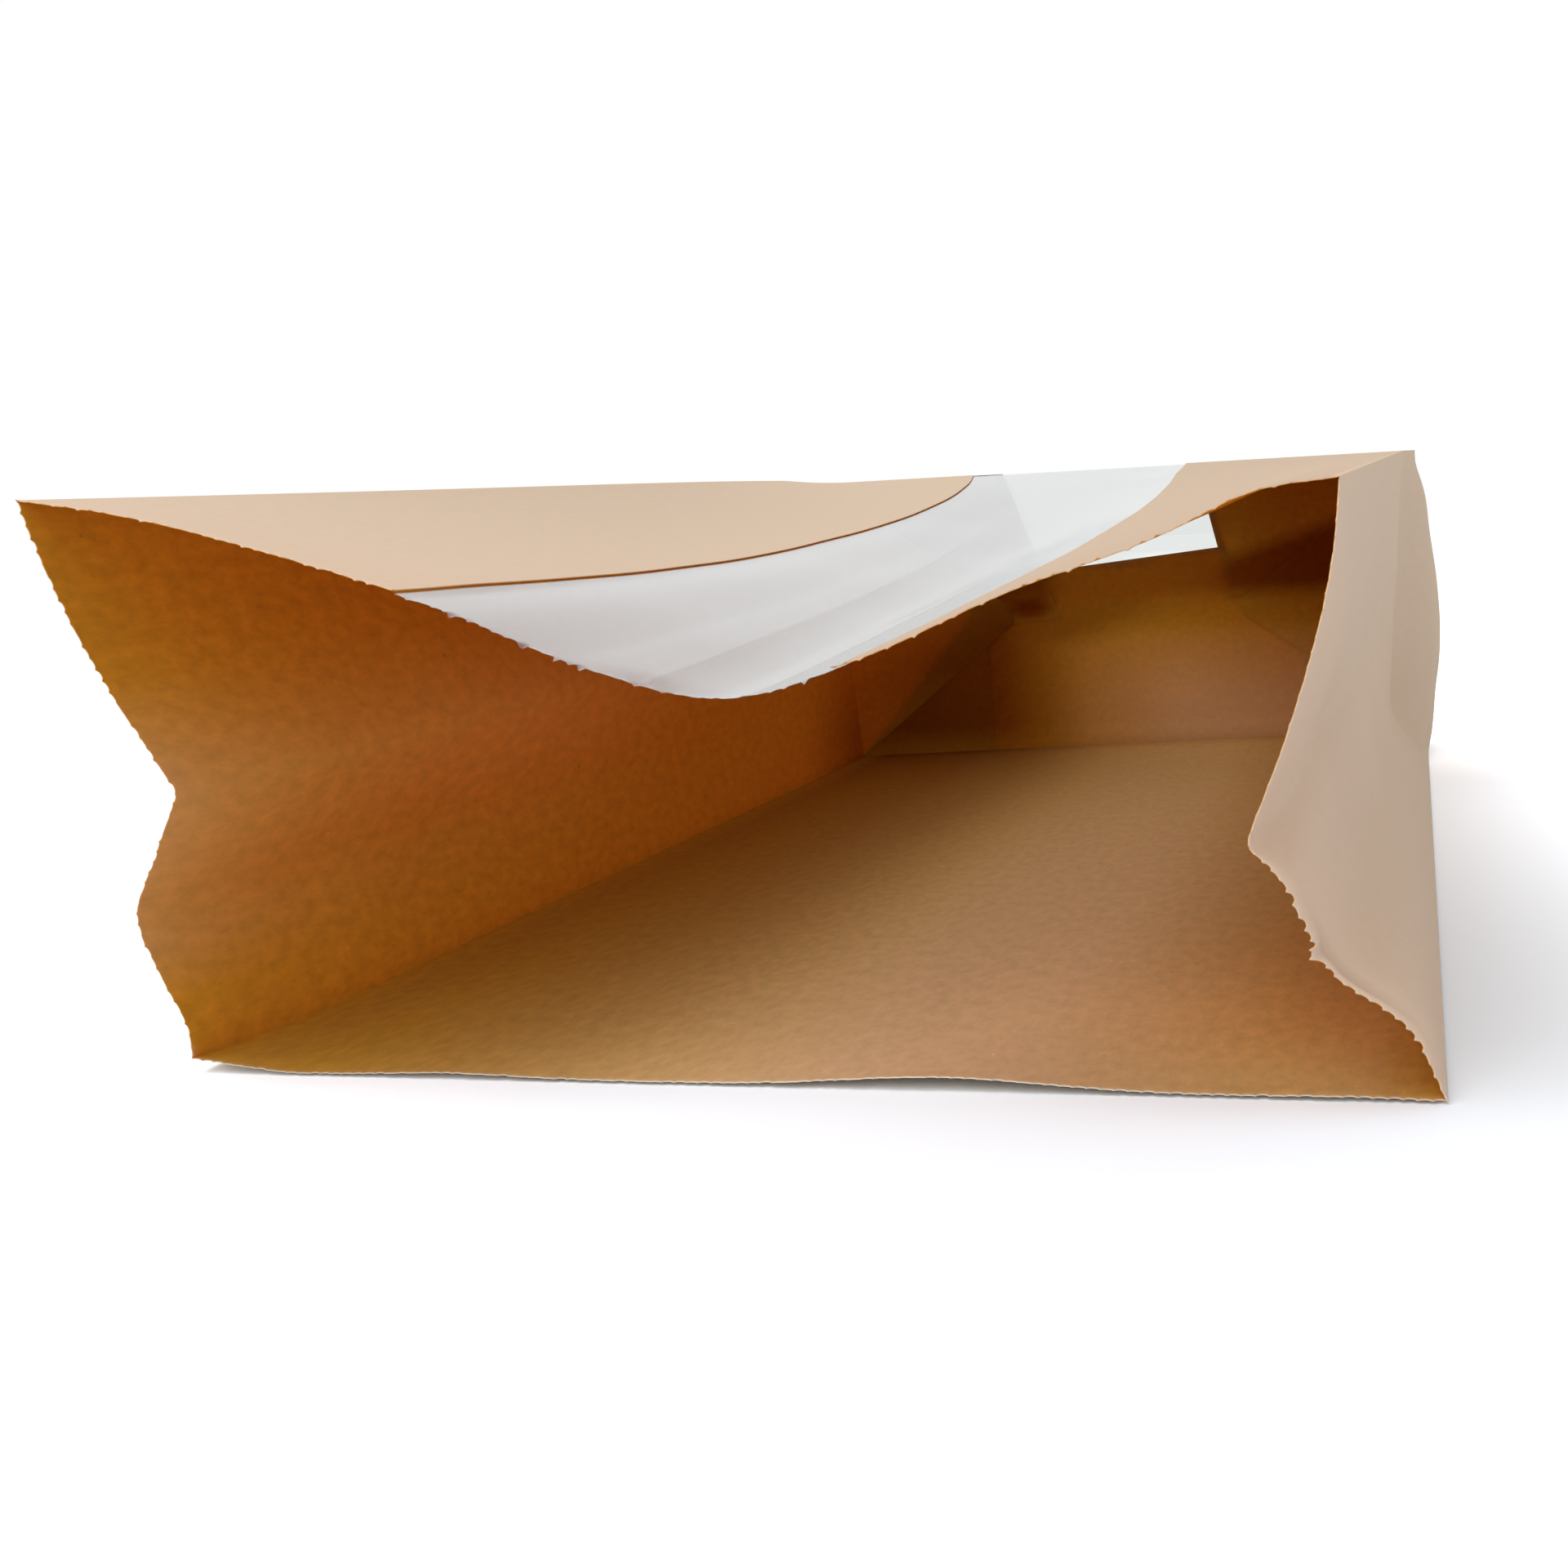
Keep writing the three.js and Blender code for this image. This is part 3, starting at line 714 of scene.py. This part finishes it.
def base_ply(corners, depth, fold, glue, painted_tone):
    """A ply of the base: a four-cornered patch filled by straight lines between opposite sides.

    Corners go round as x and height, from low left. Depth counts plies outwards from the inside face; the
    ply comes up to its depth over the first part of its run from the fold it hangs on. Glue is how far paste
    and plies behind it keep light from coming through, except in the band above the film's end.
    """
    low_left, low_right, top_right, top_left = np.array(corners, dtype=float)
    steps = np.concatenate([[0, PLY_RIM], np.linspace(0, 1, PLY_LINES)[1:-1], [1 - PLY_RIM, 1]])
    across, up = np.meshgrid(steps, steps)
    low = low_left + (low_right - low_left) * across[..., None]
    top = top_left + (top_right - top_left) * across[..., None]
    plane = low + (top - low) * up[..., None]
    x, z = plane[..., 0], plane[..., 1]
    away = {"low": up, "top": 1 - up, "left": across, "right": 1 - across}[fold]
    rise = ramp(away, start=0, end=PLY_RISE)
    rise = rise * rise * (3 - 2 * rise)
    inner = base_place(x, z) + OUTWARD * (depth * PLY_STEP * rise)[..., None]
    outer = inner + OUTWARD * PAPER
    zero = 0 * x
    band = ramp(z, start=41, end=44) * ramp(x, start=-22, end=-18) * ramp(x, start=30, end=26)
    # Painted light: the lower right of the base takes more of the outer colour, paler, where light falls in
    shade = 1 - 0.5 * ramp(x, start=-25, end=15) * ramp(z, start=36, end=14)
    # Painted shade: a soft dark line along the foot of the base, fading out towards the left
    foot = END_LIFT / BAG_WIDTH * (x + HALF)
    fold_line = bell(z, centre=foot, reach=2.5) * ramp(x, start=-50, end=-20)
    start_x, start_z = BASE_FLAT_START
    flat = [x + start_x, BASE_FLAT_SQUEEZE * z + start_z, zero, glue * (1 - band)]
    outside = np.stack(flat + [zero, zero, zero], axis=-1)
    # The inside carries painted shade and light, with the painted dark line along the base's foot
    inside = np.stack(flat + [painted_tone(x, z) + 0.14 * fold_line, zero, shade], axis=-1)
    # The rim has the inner face's colour, so that no pale line shows round a ply from inside
    for rim in (np.s_[0], np.s_[-1], np.s_[:, 0], np.s_[:, -1]):
        outside[rim] = inside[rim]
    return thin_sheet([tuple(grid[:, ::-1] for grid in (outer, inner, outside, inside))])


# The folded plies of the base: corners across and up from the floor, ply number, fold, glue, painted shade
BASE_PLIES = {
    "left_side": ([(-80, 0), (-32, 38), (-32, 42), (-85, 81)], 0, "left", 0.0, painted_side_shade),
    "right_side": ([(32, 38), (80.4, 3.5), (78.7, 79.2), (32, 42)], 0, "right", 0.5, painted_shade_and_light),
    "low_left_corner": ([(-80, 0), (-40, 0.9), (-40, 32), (-46, 27)], 1, "low", 0.8, painted_shade_and_light),
    "low_right_corner": ([(48, 2.8), (80.4, 3.5), (52, 25), (48, 27)], 1, "low", 0.8, painted_shade_and_light),
    "top_left_corner": ([(-50, 44), (-40, 40), (-46, 80.4), (-85, 81)], 1, "top", 0.8, painted_shade_and_light),
    "top_right_corner": ([(34, 44), (50, 44), (78.7, 79.2), (24, 79.6)], 1, "top", 0.8, painted_shade_and_light),
    "front_flap_left": ([(-38, 37), (-18.5, 38.8), (-32.5, 80.2), (-85, 81)], 2, "top", 0.8, painted_shade_and_light),
    "front_flap_right": ([(29.2, 42.5), (40, 43.6), (78.7, 79.2), (21, 79.6)], 2, "top", 0.8, painted_shade_and_light),
    "back_flap": ([(-80, 0), (80.4, 3.5), (56, 58.8), (-36, 51)], 3, "low", 0.45, painted_shade_and_light),
}


def film_bend(spot, rows, s, left_edge):
    """How far the film stands off the window panel in millimetres, upwards.

    It has a ridge along its crease, straight on both sides, and a small tuck beside it, a bell across. Next
    to the window's left edge it hangs slack: a quick ramp and then a decay.
    """
    crease = FILM_CREASE - FILM_CREASE_DRIFT * (s / FILM_CREASE_RUN) ** 2
    ridge = ramp(np.abs(spot - crease), start=9, end=0) * ramp(s, start=264, end=44)
    tuck = bell(spot - 0.02 * s, centre=92.2, reach=0.8) * bell(s, centre=55, reach=50)
    past_edge = np.clip(spot - left_edge, 0, None)
    slack = ramp(past_edge, start=0, end=2) * fade(past_edge, reach=15) * fade(s, reach=110)
    slack = slack * (0.42 + 0.58 * ramp(s, start=0, end=20))
    return (0.4 * ridge - 0.12 * tuck) * ramp(rows, start=0, end=6)[:, None] - 0.6 * slack


def film_strip():
    """The film under the window panel, then down inside the base to the end of the front flap."""
    width = WINDOW_WIDTH + 2 * FILM_LAP
    count = TOOTH_STEPS * int(round(width / TOOTH_PITCH))
    column = np.arange(count + 1)
    spot = WINDOW_FROM_FOLD - FILM_LAP + width * column / count
    rows = np.concatenate([FINE_ROWS, COARSE_ROWS[:-1], [BAG_LENGTH - FILM_SHORT]])
    burr = mouth_cut(column, FILM_BURR)
    hang = FILM_HANG * tooth_bend(column)
    for tuft in FILM_TUFTS:
        at_tuft = np.abs(spot - tuft) < TUFT_HALF_WIDTH
        burr -= TUFT_LENGTH * at_tuft
        hang -= TUFT_HANG * at_tuft
    s = rows[:, None] + burr * ramp(rows, start=CUT_REACH, end=0)[:, None]
    along = s / BAG_LENGTH
    panel = window_panel(np.broadcast_to(spot / BAG_WIDTH, along.shape), along)
    skin = -normals(panel)
    left_edge, right_edge = (edge * BAG_WIDTH for edge in window_edges(along))
    bend = film_bend(spot, rows, s, left_edge) + hang * ramp(rows, start=BEND_REACH, end=0)[:, None]
    panel = panel + skin * bend[..., None]
    panel_top = panel - (PAPER + GLUE_GAP) * skin
    panel_under = panel_top - FILM * skin

    # Down the base it lies behind the side plies and shifts to the right
    drop = np.linspace(FILM_FIRST_DROP, FILM_DROP, FILM_BASE_ROWS)[:, None]
    fold = panel[-1]
    share = (spot - WINDOW_FROM_FOLD) / WINDOW_WIDTH
    shift = FILM_SHIFT_LEFT + (FILM_SHIFT_RIGHT - FILM_SHIFT_LEFT) * share
    x = fold[:, 0] + shift * (drop / FILM_DROP)
    z = fold[:, 2] - drop - FILM_FOLD_DROP
    base_top = base_place(x, z) + OUTWARD * (FILM_BEHIND * ramp(drop, start=0, end=5))[..., None]
    base_under = base_top - OUTWARD * FILM

    # It counts as glued where it lies on paper: beside the window, on the back flap and on the front flaps
    lap = np.maximum(ramp(left_edge - spot, start=0, end=1), ramp(spot - right_edge, start=0, end=1))
    (right_x, right_z), (left_x, left_z) = BASE_PLIES["back_flap"][0][2:]
    flap_top = left_z + (right_z - left_z) * (x - left_x) / (right_x - left_x)
    off_middle = np.abs(share - 0.5) * WINDOW_WIDTH
    beside = ramp(off_middle, start=WINDOW_WIDTH / 2, end=WINDOW_WIDTH / 2 + 1)
    base_lap = np.maximum(ramp(flap_top - z, start=0, end=1.2), beside)
    glued = np.concatenate([lap, base_lap])

    flat_rows = np.concatenate([s, BAG_LENGTH + drop + 0 * x])
    zero = 0 * flat_rows
    outer = np.concatenate([panel_top, base_top])
    inner = np.concatenate([panel_under, base_under])
    label = np.stack([spot + zero, flat_rows, zero, glued, zero, zero, zero + 1], axis=-1)
    return thin_sheet([tuple(grid[:, ::-1] for grid in (outer, inner, label, label))])


def kraft_paper():
    """Unbleached machine-made kraft paper: matt, cloudy, with fine fibres and specks.

    It scatters most light back and lets a little through, strongly orange, which gives the inside its glow.
    """
    material, tree = empty_material("unbleached_kraft_paper")
    sheet = add_node(tree, "ShaderNodeUVMap", {"uv_map": "flat_sheet"}).outputs["UV"]
    edge, glued, painted_tone, painted_lit_tint, inside = (
        add_node(tree, "ShaderNodeAttribute", {"attribute_name": label}).outputs["Fac"] for label in LABELS
    )
    # Cloudy formation of the pulp, with finer grain in it; it shows on the rough inner face
    drawn = add_node(tree, "ShaderNodeMapping", Vector=sheet, Scale=CLOUDS)
    cloud = add_node(tree, "ShaderNodeTexNoise", Vector=drawn.outputs["Vector"], Scale=1.0, Detail=7.0,
                     Roughness=0.6)
    mottle = add_node(tree, "ShaderNodeMapRange", Value=cloud.outputs["Fac"], From_Min=0.25, From_Max=0.75,
                      To_Min=-0.16, To_Max=0.16)
    # Fibres lie mostly down the sheet, coarser than real ones so that they show
    stretched = add_node(tree, "ShaderNodeMapping", Vector=sheet, Scale=FIBRES)
    fibre = add_node(tree, "ShaderNodeTexNoise", Vector=stretched.outputs["Vector"], Scale=1.0, Detail=3.0)
    streak = add_node(tree, "ShaderNodeMapRange", Value=fibre.outputs["Fac"], From_Min=0.25, From_Max=0.75,
                      To_Min=-0.03, To_Max=0.03)
    # Specks of bark, about 0.4 mm
    speck = add_node(tree, "ShaderNodeTexVoronoi", Vector=sheet, Scale=SPECKS)
    dark = add_node(tree, "ShaderNodeMapRange", Value=speck.outputs["Distance"], From_Min=0.02,
                    From_Max=0.045, To_Min=-0.35, To_Max=0.0)
    # Pale flecks of fibre, about 0.3 by 0.7 mm
    scattered = add_node(tree, "ShaderNodeMapping", Vector=sheet, Scale=FLECKS)
    fleck = add_node(tree, "ShaderNodeTexVoronoi", Vector=scattered.outputs["Vector"], Scale=1.0)
    pale = add_node(tree, "ShaderNodeMapRange", Value=fleck.outputs["Distance"], From_Min=0.015,
                    From_Max=0.042, To_Min=0.35, To_Max=0.0)
    grain = mottle.outputs[0]
    for part in (streak, dark, pale):
        grain = add_node(tree, "ShaderNodeMath", {"operation": "ADD"}, _0=grain,
                         _1=part.outputs[0]).outputs[0]
    # The grain is weaker where light is painted on the bottom, farther from the mouth, and most of all
    # outside
    smooth = add_node(tree, "ShaderNodeMapRange", Value=painted_lit_tint, To_Min=1.0, To_Max=0.75)
    down = add_node(tree, "ShaderNodeSeparateXYZ", Vector=sheet).outputs[1]
    far = add_node(tree, "ShaderNodeMapRange", Value=down, From_Min=0.05, From_Max=0.3, To_Min=1.0,
                   To_Max=0.65)
    weak = add_node(tree, "ShaderNodeMath", {"operation": "MULTIPLY"}, _0=smooth.outputs[0],
                    _1=far.outputs[0])
    depth = add_node(tree, "ShaderNodeMapRange", Value=inside, To_Min=0.12, To_Max=weak.outputs[0])
    tone = add_node(tree, "ShaderNodeMath", {"operation": "MULTIPLY_ADD"}, _0=grain, _1=depth.outputs[0],
                    _2=1.0)
    # Painted shade darkens the paper and keeps light back; below zero it is painted light and the paper is a
    # little paler
    painted_lit = add_node(tree, "ShaderNodeMapRange", Value=painted_tone, From_Min=-1.0, From_Max=0.0, To_Min=1.45,
                     To_Max=1.0)
    tone = add_node(tree, "ShaderNodeMath", {"operation": "MULTIPLY"}, _0=tone.outputs[0],
                    _1=painted_lit.outputs[0])
    kept = add_node(tree, "ShaderNodeMapRange", Value=painted_tone, To_Min=1.0, To_Max=0.35)
    kept = add_node(tree, "ShaderNodeMath", {"operation": "MULTIPLY"}, _0=tone.outputs[0],
                    _1=kept.outputs[0])
    outer = add_node(tree, "ShaderNodeMix", {"data_type": "RGBA"}, Factor=edge, _6=linear("efddc1"),
                     _7=linear("f6e8d4"))
    # The inner face is a deeper brown, partly as its rougher side and partly painted shade for the dim
    # inside; painted light mixes in a paler, pinker brown
    inner = add_node(tree, "ShaderNodeMix", {"data_type": "RGBA"}, Factor=painted_lit_tint, _6=linear("d6a634"),
                     _7=linear("cea77f"))
    body = add_node(tree, "ShaderNodeMix", {"data_type": "RGBA"}, Factor=inside, _6=outer.outputs[2],
                    _7=inner.outputs[2])
    # Painted shade mixes towards a deep red brown
    body = add_node(tree, "ShaderNodeMix", {"data_type": "RGBA"}, Factor=painted_tone, _6=body.outputs[2],
                    _7=linear("7d3704"))
    shown = add_node(tree, "ShaderNodeVectorMath", {"operation": "SCALE"}, Vector=body.outputs[2],
                     Scale=tone.outputs[0])
    glow = add_node(tree, "ShaderNodeVectorMath", {"operation": "SCALE"}, Vector=linear("ff9c22")[:3],
                    Scale=kept.outputs[0])
    relief = add_node(tree, "ShaderNodeBump", Strength=0.06, Distance=0.0002, Height=cloud.outputs["Fac"])
    front = add_node(tree, "ShaderNodeBsdfPrincipled", Base_Color=shown.outputs[0], Roughness=0.75,
                     Normal=relief.outputs[0])
    shine = add_node(tree, "ShaderNodeMapRange", Value=inside, To_Min=0.25, To_Max=0.03)
    tree.links.new(shine.outputs[0], front.inputs["Specular IOR Level"])
    through = add_node(tree, "ShaderNodeBsdfTranslucent", Color=glow.outputs[0])
    passed = add_node(tree, "ShaderNodeMapRange", Value=glued, To_Min=0.22, To_Max=0.04)
    both = add_node(tree, "ShaderNodeMixShader", Fac=passed.outputs[0], _1=front.outputs[0],
                    _2=through.outputs[0])
    add_node(tree, "ShaderNodeOutputMaterial", Surface=both.outputs[0])
    return material


def clear_film():
    """Thin clear polypropylene film: glossy, almost mirror-like at a low angle, with a trace of haze."""
    material, tree = empty_material("clear_polypropylene_film")
    sheet = add_node(tree, "ShaderNodeUVMap", {"uv_map": "flat_sheet"}).outputs["UV"]
    split = add_node(tree, "ShaderNodeSeparateXYZ", Vector=sheet)
    across, down = split.outputs[0], split.outputs[1]
    # The lengthwise crease, on the flat strip in metres: its place drifts with the square of the way down
    square_of_down = add_node(tree, "ShaderNodeMath", {"operation": "POWER"}, _0=down, _1=2.0).outputs[0]
    drift = -FILM_CREASE_DRIFT * MM_PER_METRE / FILM_CREASE_RUN ** 2
    crease = add_node(tree, "ShaderNodeMath", {"operation": "MULTIPLY_ADD"}, _0=square_of_down, _1=drift,
                      _2=FILM_CREASE / MM_PER_METRE)
    beside = add_node(tree, "ShaderNodeMath", {"operation": "SUBTRACT"}, _0=across,
                      _1=crease.outputs[0]).outputs[0]
    off_line = add_node(tree, "ShaderNodeMath", {"operation": "ABSOLUTE"}, _0=beside).outputs[0]
    line = add_node(tree, "ShaderNodeMapRange", Value=off_line, From_Min=0.0001, From_Max=0.0006,
                    To_Min=0.11, To_Max=0.0)
    # It dies out half way down the bag
    fading = add_node(tree, "ShaderNodeMapRange", Value=down, From_Min=0.12, From_Max=0.2, To_Min=1.0,
                      To_Max=0.0)
    line = add_node(tree, "ShaderNodeMath", {"operation": "MULTIPLY"}, _0=line.outputs[0],
                    _1=fading.outputs[0])
    # Just to the right of it the film is a little less glossy
    dull = add_node(tree, "ShaderNodeMapRange", {"interpolation_type": "SMOOTHSTEP"}, Value=beside,
                    From_Min=0.0, From_Max=0.006, To_Min=0.91, To_Max=1.0)
    right_side = add_node(tree, "ShaderNodeMath", {"operation": "GREATER_THAN"}, _0=beside,
                          _1=0.0).outputs[0]
    right_side = add_node(tree, "ShaderNodeMath", {"operation": "MULTIPLY"}, _0=right_side,
                          _1=fading.outputs[0])
    dull = add_node(tree, "ShaderNodeMix", {"data_type": "FLOAT"}, Factor=right_side.outputs[0], _2=1.0,
                    _3=dull.outputs[0])
    facing = add_node(tree, "ShaderNodeLayerWeight", Blend=0.5).outputs["Facing"]
    steep = add_node(tree, "ShaderNodeMath", {"operation": "POWER"}, _0=facing, _1=3.5)
    share = add_node(tree, "ShaderNodeMapRange", Value=steep.outputs[0], To_Min=0.004, To_Max=1.0)
    share = add_node(tree, "ShaderNodeMath", {"operation": "MULTIPLY"}, _0=share.outputs[0],
                     _1=dull.outputs[0])
    gloss = add_node(tree, "ShaderNodeBsdfGlossy", Color=linear("f4f5f5"), Roughness=0.12)
    clear = add_node(tree, "ShaderNodeBsdfTransparent", Color=linear("f1f3f2"))
    matt = add_node(tree, "ShaderNodeBsdfDiffuse", Color=linear("f2f3f2"))
    lit = add_node(tree, "ShaderNodeBsdfTranslucent", Color=linear("f2f3f2"))
    milk = add_node(tree, "ShaderNodeMixShader", Fac=0.5, _1=matt.outputs[0], _2=lit.outputs[0])
    haze = add_node(tree, "ShaderNodeMixShader", Fac=0.02, _1=clear.outputs[0], _2=milk.outputs[0])
    both = add_node(tree, "ShaderNodeMixShader", Fac=share.outputs[0], _1=haze.outputs[0],
                    _2=gloss.outputs[0])
    marked = add_node(tree, "ShaderNodeMixShader", Fac=line.outputs[0], _1=both.outputs[0],
                      _2=milk.outputs[0])
    # Glued down on paper it has neither gloss nor haze of its own
    glued = add_node(tree, "ShaderNodeAttribute", {"attribute_name": "glued"}).outputs["Fac"]
    bare = add_node(tree, "ShaderNodeBsdfTransparent", Color=WHITE)
    shown = add_node(tree, "ShaderNodeMixShader", Fac=glued, _1=marked.outputs[0], _2=bare.outputs[0])
    add_node(tree, "ShaderNodeOutputMaterial", Surface=shown.outputs[0])
    return material


def white_floor():
    """Matt white studio floor, shown to the camera a little brighter than it lights the bag."""
    material, tree = empty_material("matt_white_floor")
    path = add_node(tree, "ShaderNodeLightPath")
    seen = add_node(tree, "ShaderNodeMath", {"operation": "MAXIMUM"}, _0=path.outputs["Is Camera Ray"],
                    _1=path.outputs["Is Glossy Ray"])
    # White grows with the distance from the floor beside the mouth, so the shadow fades behind the bag
    place = add_node(tree, "ShaderNodeTexCoord").outputs["Object"]
    away = add_node(tree, "ShaderNodeVectorMath", {"operation": "DISTANCE"}, _0=place, _1=BESIDE_MOUTH)
    away = away.outputs["Value"]
    shown = add_node(tree, "ShaderNodeMapRange", {"interpolation_type": "SMOOTHSTEP"}, Value=away,
                     From_Min=0.0, From_Max=0.26, To_Min=1.04, To_Max=1.6)
    rest = add_node(tree, "ShaderNodeMapRange", {"interpolation_type": "SMOOTHSTEP"}, Value=away,
                    From_Min=0.25, From_Max=0.32, To_Min=0.0, To_Max=0.5)
    # Far away it is only just white, so that the film in front of it does not look lit from behind
    plain = add_node(tree, "ShaderNodeMapRange", Value=away, From_Min=0.6, From_Max=1.6, To_Min=0.0,
                     To_Max=-0.93)
    for part in (rest, plain):
        shown = add_node(tree, "ShaderNodeMath", {"operation": "ADD"}, _0=shown.outputs[0],
                         _1=part.outputs[0])
    level = add_node(tree, "ShaderNodeMapRange", Value=seen.outputs[0], To_Min=0.8, To_Max=shown.outputs[0])
    # A trace of blue takes out the warm tint that the bag throws on its own shadow
    far = add_node(tree, "ShaderNodeMapRange", Value=away, From_Min=0.3, From_Max=0.8)
    tint = add_node(tree, "ShaderNodeMix", {"data_type": "RGBA"}, Factor=far.outputs[0],
                    _6=(0.945, 0.985, 1.045, 1), _7=WHITE)
    colour = add_node(tree, "ShaderNodeVectorMath", {"operation": "SCALE"}, Vector=tint.outputs[2],
                      Scale=level.outputs[0])
    matt = add_node(tree, "ShaderNodeBsdfDiffuse", Color=colour.outputs[0])
    add_node(tree, "ShaderNodeOutputMaterial", Surface=matt.outputs[0])
    return material


def placed(right, up, back, at):
    """A 4 by 4 matrix from three axes and a place, in metres."""
    matrix = np.identity(4)
    matrix[:3] = np.stack([right, up, back, at], axis=1)
    return Matrix(matrix.tolist())


def stand_light(lamp, stand):
    """Puts a light on its stand, turned to the middle of the floor; the camera doesn't see it."""
    light = bpy.data.objects.new(lamp.name, lamp)
    bpy.context.collection.objects.link(light)
    light.visible_camera = False
    light.visible_glossy = False
    stand = np.array(stand)
    back = stand / np.linalg.norm(stand)
    right = np.cross([0, 0, 1], back)
    right = right / np.linalg.norm(right)
    light.matrix_world = placed(right, np.cross(back, right), back, stand)


def studio():
    """A white floor, an even white surround, a broad light from the upper left and a panel in front."""
    mesh = bpy.data.meshes.new("floor")
    turns = ((-1, -1), (1, -1), (1, 1), (-1, 1))
    corners = [(side * FLOOR_REACH, end * FLOOR_REACH, FLOOR_TOP) for side, end in turns]
    mesh.from_pydata(corners, [], [(0, 1, 2, 3)])
    mesh.materials.append(white_floor())
    floor = bpy.data.objects.new("floor", mesh)
    bpy.context.collection.objects.link(floor)

    # What the camera, the gloss and the clear film see of the surround is white; it lights the bag less
    world = bpy.data.worlds.new("studio_surround")
    bpy.context.scene.world = world
    world.use_nodes = True
    tree = world.node_tree
    tree.nodes.clear()
    path = add_node(tree, "ShaderNodeLightPath")
    seen = path.outputs["Is Camera Ray"]
    for ray in ("Is Glossy Ray", "Is Transmission Ray"):
        seen = add_node(tree, "ShaderNodeMath", {"operation": "MAXIMUM"}, _0=seen,
                        _1=path.outputs[ray]).outputs[0]
    level = add_node(tree, "ShaderNodeMapRange", Value=seen, To_Min=SURROUND_LEVEL, To_Max=1.0)
    light = add_node(tree, "ShaderNodeBackground", Color=WHITE, Strength=level.outputs[0])
    add_node(tree, "ShaderNodeOutputWorld", Surface=light.outputs[0])

    key = bpy.data.lights.new("soft_key", "SUN")
    key.angle = np.radians(KEY_DEGREES)
    key.energy = KEY_STRENGTH
    stand_light(key, KEY_STAND)
    panel = bpy.data.lights.new("front_panel", "AREA")
    panel.size = PANEL_SIZE
    panel.energy = PANEL_WATTS
    stand_light(panel, PANEL_STAND)


def photo_camera():
    """The camera of the photograph, from the fit to the bag's corners."""
    yaw, pitch, roll = np.radians(YAW_PITCH_ROLL)
    ahead = np.array([np.sin(yaw) * np.cos(pitch), np.cos(yaw) * np.cos(pitch), np.sin(pitch)])
    level = np.array([np.cos(yaw), -np.sin(yaw), 0.0])
    upright = np.cross(level, ahead)
    right = np.cos(roll) * level + np.sin(roll) * upright
    up = np.cos(roll) * upright - np.sin(roll) * level
    data = bpy.data.cameras.new("photo_camera")
    data.sensor_fit = "HORIZONTAL"
    data.sensor_width = SENSOR_WIDTH
    data.lens = SENSOR_WIDTH * FOCAL_PIXELS / IMAGE_PIXELS
    data.clip_start = CLIP_START
    camera = bpy.data.objects.new("photo_camera", data)
    bpy.context.collection.objects.link(camera)
    camera.matrix_world = placed(right, up, -ahead, np.array(CAMERA_PLACE))
    bpy.context.scene.camera = camera


photo_camera()
studio()
kraft = kraft_paper()
sheets = [paper_tube()] + [base_ply(*ply) for ply in BASE_PLIES.values()]
bag = make_piece("folded_kraft_sheet", sheets, kraft)
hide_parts("paper_bag")
window = make_piece("window_film_strip", [film_strip()], clear_film())
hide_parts("window_film")

bpy.context.scene.view_settings.view_transform = "Standard"
